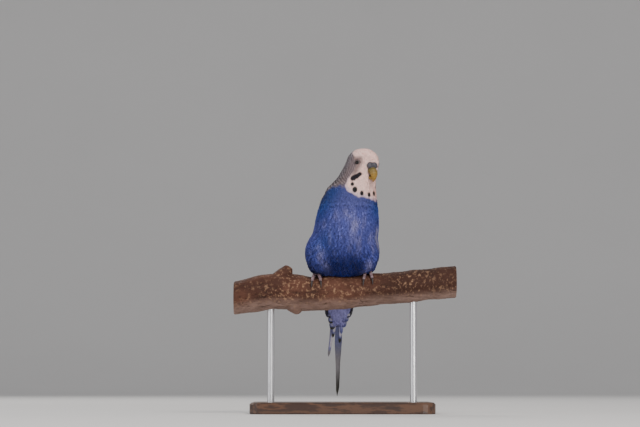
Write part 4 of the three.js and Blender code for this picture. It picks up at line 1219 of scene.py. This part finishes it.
def toe(x, way, drift, angles, sizes, height, stations, sides, end):
    """A toe or claw round the branch, from one angle to another, with its sizes along it."""
    t = np.linspace(0, 1, stations)
    size = curve([[i, v] for i, v in enumerate(sizes)], 1, t * (len(sizes) - 1))
    size = size * np.where(t > 1 - end, np.sqrt(np.clip(1 - ((t - 1 + end) / end) ** 2, 0.01, 1)), 1)
    path = perch_point(x + drift * t, way * mix(*angles, t), height(size, t))
    ridge = 1 + 0.035 * np.abs(np.sin(np.linspace(0, stations * 0.55, stations))) * (sides > 12)
    points, faces = tube(path, size * ridge, size * ridge, ALONG_BRANCH, sides)
    return points, faces, np.repeat(running(steps_of(path)), sides)


def toe_height(size, t):
    return size + TOE_GAP + 0.1


def claw_height(size, t):
    return 0.95 + 0.25 * np.sin(t * math.pi) + size * (1 - t)


for side, word in ((1, "left"), (-1, "right")):
    x = side * FOOT_X
    parts, lengths, claws, covered = [], [], [], []
    for way, place in ((1, "front"), (-1, "back")):
        for out, rank in ((-1, "inner"), (1, "outer")):
            root, drift = side * (FOOT_X + out * TOE_APART), side * out * 1.5
            *skin, run = toe(root, way, drift, TOE_ANGLES, TOE_SIZES, toe_height, 60, 20, 0.06)
            root += drift
            *claw, _ = toe(root, way, drift * 0.3, CLAW_ANGLES, CLAW_SIZES, claw_height, 30, 12, 0.05)
            parts.append(skin)
            lengths.append(run)
            claws.append(claw)
            covered.append(f"{word}_{place}_{rank}")
    top = perch_point(x, 0)
    pad = ball(top + [0, 0, PAD_HALF[2] + TOE_GAP], PAD_HALF, 30, 40)
    v = np.linspace(0, LEG_SPAN, 30)
    shank = np.stack([x + 0 * v, LEG_LEAN[0] * v, top[2] + PAD_HALF[2] + LEG_LEAN[1] * v], -1)
    leg = tube(shank, *(np.full(30, half) for half in LEG_HALF), ALONG_BRANCH, 20)
    parts += [pad, leg]
    lengths += [p[:, 2] - top[2] for p, _ in (pad, leg)]
    add_piece("foot_skin_" + word, *joined(parts), FOOT_SKIN, "foot_skin",
              ["foot_" + word] + ["toe_" + c for c in covered], {"along": np.concatenate(lengths)})
    add_piece("claws_" + word, *joined(claws), CLAW_MATERIAL, "claw", ["claw_" + c for c in covered])


# Branch

PERCH_FROM, PERCH_TO = -76, 80
BARK_ROWS, BARK_SIDES, STUB_SIDES = 380, 144, 60
# x, angle, lean in degrees, length, radius at its root and tip, and whether it is cut or broken off
STUBS = [(-42, -6, 30, 5.4, 6.6, 2.6, True), (-32.5, 172, 10, 2.8, 7.6, 1.4, False)]
CUT_HEART = 0.086


def bark_material():
    """Brown bark with pale flecks, darker towards one end; paler underneath, with fewer flecks there, as
    painted light from below; painted shade in its cracks.
    """
    n = Nodes("bark")
    where = n.place()
    crack, under, dark = (n.attribute(name) for name in ("crack", "under", "dark"))
    grain = n.spots(n.place((0.35, 1, 1)), 420.0, 6.0, 0.7)
    colour = n.blend(n.ramp(n.spots(where, 60.0, 3.0), 0.35, 0.65), rgb(67, 40, 30), rgb(92, 58, 44))
    # painted light: the underside is made paler, as if lit from below
    colour = n.blend(n.times(under, 0.85), colour, rgb(158, 130, 118))
    colour = n.blend(n.times(dark, 0.75), colour, rgb(46, 26, 19))
    patchy = n.ramp(n.spots(where, 45.0, 2.0), 0.35, 0.62, 0.35, 1.0)
    # fewer flecks where the painted light from below falls
    patchy = n.times(patchy, n.minus(1.0, n.times(under, 0.7)))
    flecks = n.times(n.ramp(n.spots(n.place((1.1, 1, 0.8)), 420.0, 5.0, 0.7), 0.52, 0.62), patchy)
    colour = n.blend(n.times(flecks, 0.66), colour, rgb(172, 136, 106))
    colour = n.blend(n.ramp(grain, 0.3, 0.75, 0.0, 0.5), colour, rgb(58, 35, 27))
    # painted shade darkening the cracks
    colour = n.blend(n.ramp(crack, 0.25, 1.0, 0.0, 0.7), colour, rgb(40, 25, 19))
    height = n.plus(n.times(grain, 0.7), n.times(flecks, 0.3))
    return n.finish(Base_Color=colour, Roughness=n.ramp(grain, 0.3, 0.7, 0.72, 0.92),
                    Normal=n.bump(height, 0.6, 0.0004), Specular_IOR_Level=0.25)


def wood_material():
    """Cut wood with year rings round its heart."""
    n = Nodes("cut_wood")
    where = n.place()
    split = n.add("ShaderNodeSeparateXYZ", {0: where})
    height = n.minus(split.outputs[2], CUT_HEART)
    square = n.plus(n.math("POWER", split.outputs[1], 2.0), n.math("POWER", height, 2.0))
    reach = n.plus(n.math("SQRT", square), n.times(n.spots(where, 90.0), 0.0016))
    rings = n.math("SINE", n.times(reach, 5200.0))
    grain = n.spots(where, 900.0, 5.0)
    colour = n.blend(n.ramp(rings, -0.4, 0.9), rgb(190, 152, 108), rgb(150, 110, 72))
    colour = n.blend(n.ramp(grain, 0.45, 0.8, 0.0, 0.6), colour, rgb(112, 78, 52))
    return n.finish(Base_Color=colour, Roughness=n.ramp(grain, 0.2, 0.8, 0.7, 0.88),
                    Normal=n.bump(grain, 0.35, 0.0002))


def bark_relief(p):
    """Height of the bark at points and how deep in a crack they lie: long fissures and flaking plates."""
    long = p * [0.12, 1, 1]
    fissure = 1 - np.abs(noise(long, 1.5, 1) + 0.35 * noise(p * [0.3, 1, 1], 0.8, 11)) * 3.2
    plates = smooth(noise(p * [0.5, 1, 1], 4.2, 2), -0.12, 0.06)
    crack = np.clip(fissure, 0, 1) ** 2 * smooth(noise(p, 7.0, 6), -0.5, 0.3)
    rough = 0.10 * noise(p, 0.9, 7) + 0.06 * noise(p, 0.42, 8)
    return -0.16 - 0.34 * crack + 0.16 * plates + rough, crack


def branch_bark():
    """The branch: points, faces, how deep in a crack and how far underneath each point is, the latter for
    painted light from below.
    """
    turns = np.linspace(0, 360, BARK_SIDES, endpoint=False)
    xx, tt = grid(np.linspace(PERCH_FROM, PERCH_TO, BARK_ROWS), turns)
    relief, crack = bark_relief(perch_point(xx, tt))
    edge = np.minimum(xx - PERCH_FROM, PERCH_TO - xx)
    points = perch_point(xx, tt, relief - 0.5 * (1 - smooth(edge, 0, 0.7)))
    # share of painted light from below, growing round the underside
    under = smooth(-np.cos(np.radians(tt)), 0.2, 0.85)
    return points, grid_faces(BARK_ROWS, BARK_SIDES, True)[:, ::-1], crack, under


def stub(x, turn, lean, long, root, tip, cut):
    """A side shoot's stub with its bark: points, faces, cracks and how far underneath, as above."""
    start = perch_point(x, turn, -4.0)
    axis = unit(perch_point(x, turn) - perch_point(x, turn, -1.0) + [math.tan(math.radians(lean)), 0, 0])
    t = np.linspace(0, 1, 46)
    size = tip + (root - tip) * np.interp(t, [0, 0.5, 1], [1.2, 0.72, 0])
    rounding = 0.45 if cut else 0.99
    size = size * np.sqrt(np.clip(1 - ((t - 0.93) / 0.07).clip(0) ** 2 * rounding, 0, 1))
    line = start + axis * (t * (long + 4.4))[:, None]
    p, faces = tube(line, size, size, np.cross(axis, [0, 1.0, 0]), STUB_SIDES)
    relief, crack = bark_relief(p * [1, 1, 0.6])
    p = p + unit(p - np.repeat(line, STUB_SIDES, axis=0)) * (relief * 0.8)[:, None]
    # the broken stub hangs below the branch and takes the painted light from below
    return p, faces, crack, np.full(len(p), 0.0 if cut else 0.8)


def disc(rim, rings, least):
    """Rings of points from a rim in towards its middle, and how far out they are."""
    share = np.repeat(np.linspace(1, least, rings), len(rim))
    middle = rim.mean(axis=0)
    return middle + (np.tile(rim, (rings, 1)) - middle) * share[:, None], share


branch = [branch_bark()] + [stub(*row) for row in STUBS]
ends = []
for way, rim in ((-1, branch[0][0][:BARK_SIDES]), (1, branch[0][0][-BARK_SIDES:])):
    points, share = disc(rim, 26, 0.02)
    points[:, 0] -= way * (0.10 * noise(points, 1.1, 9) - 0.15 * (1 - share))
    ends.append((points, grid_faces(26, BARK_SIDES, True)[:, ::way]))
ends.append((disc(branch[1][0][-STUB_SIDES:], 10, 0.03)[0], grid_faces(10, STUB_SIDES, True)))
bark, bark_faces = joined([part[:2] for part in branch])
crack, under = (np.concatenate([part[k] for part in branch]) for k in (2, 3))
dark = smooth(bark[:, 0] + 8 * noise(bark, 14, 12), -5, 50) * (1 - under)
add_piece("perch_bark", bark, bark_faces, bark_material(), "bark", ("perch",), {
    "crack": crack, "under": under, "dark": dark,
})
add_piece("perch_ends", *joined(ends), wood_material(), "bark")


# Stand

def base_material():
    """Dark polished wood with a figured grain."""
    n = Nodes("stand_wood")
    grain = n.spots(n.place((0.12, 1, 0.6)), 260.0, 6.0, 0.65)
    broad = n.spots(n.place((0.1, 1, 1)), 30.0)
    figure = n.math("SINE", n.times(n.plus(grain, broad), 26.0))
    colour = n.blend(n.ramp(figure, -0.6, 0.9), rgb(58, 38, 28), rgb(88, 60, 43))
    colour = n.blend(n.ramp(grain, 0.5, 0.75, 0.0, 0.5), colour, rgb(38, 25, 19))
    return n.finish(Base_Color=colour, Roughness=n.ramp(grain, 0.3, 0.7, 0.36, 0.5),
                    Normal=n.bump(grain, 0.12, 0.0002))


def rod_material():
    n = Nodes("stand_metal")
    brushed = n.spots(n.place((1, 1, 0.04)), 1600.0, 3.0)
    colour = n.blend(brushed, (0.58, 0.58, 0.59), (0.66, 0.66, 0.67))
    return n.finish(Base_Color=colour, Metallic=1.0, Roughness=n.ramp(brushed, 0.2, 0.8, 0.26, 0.38),
                    Normal=n.bump(brushed, 0.06, 0.0001))


rod = rod_material()
for node, material in (("stand_base", base_material()), ("stand_rod_left", rod), ("stand_rod_right", rod)):
    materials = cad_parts[node].data.materials
    materials.clear()
    materials.append(material)
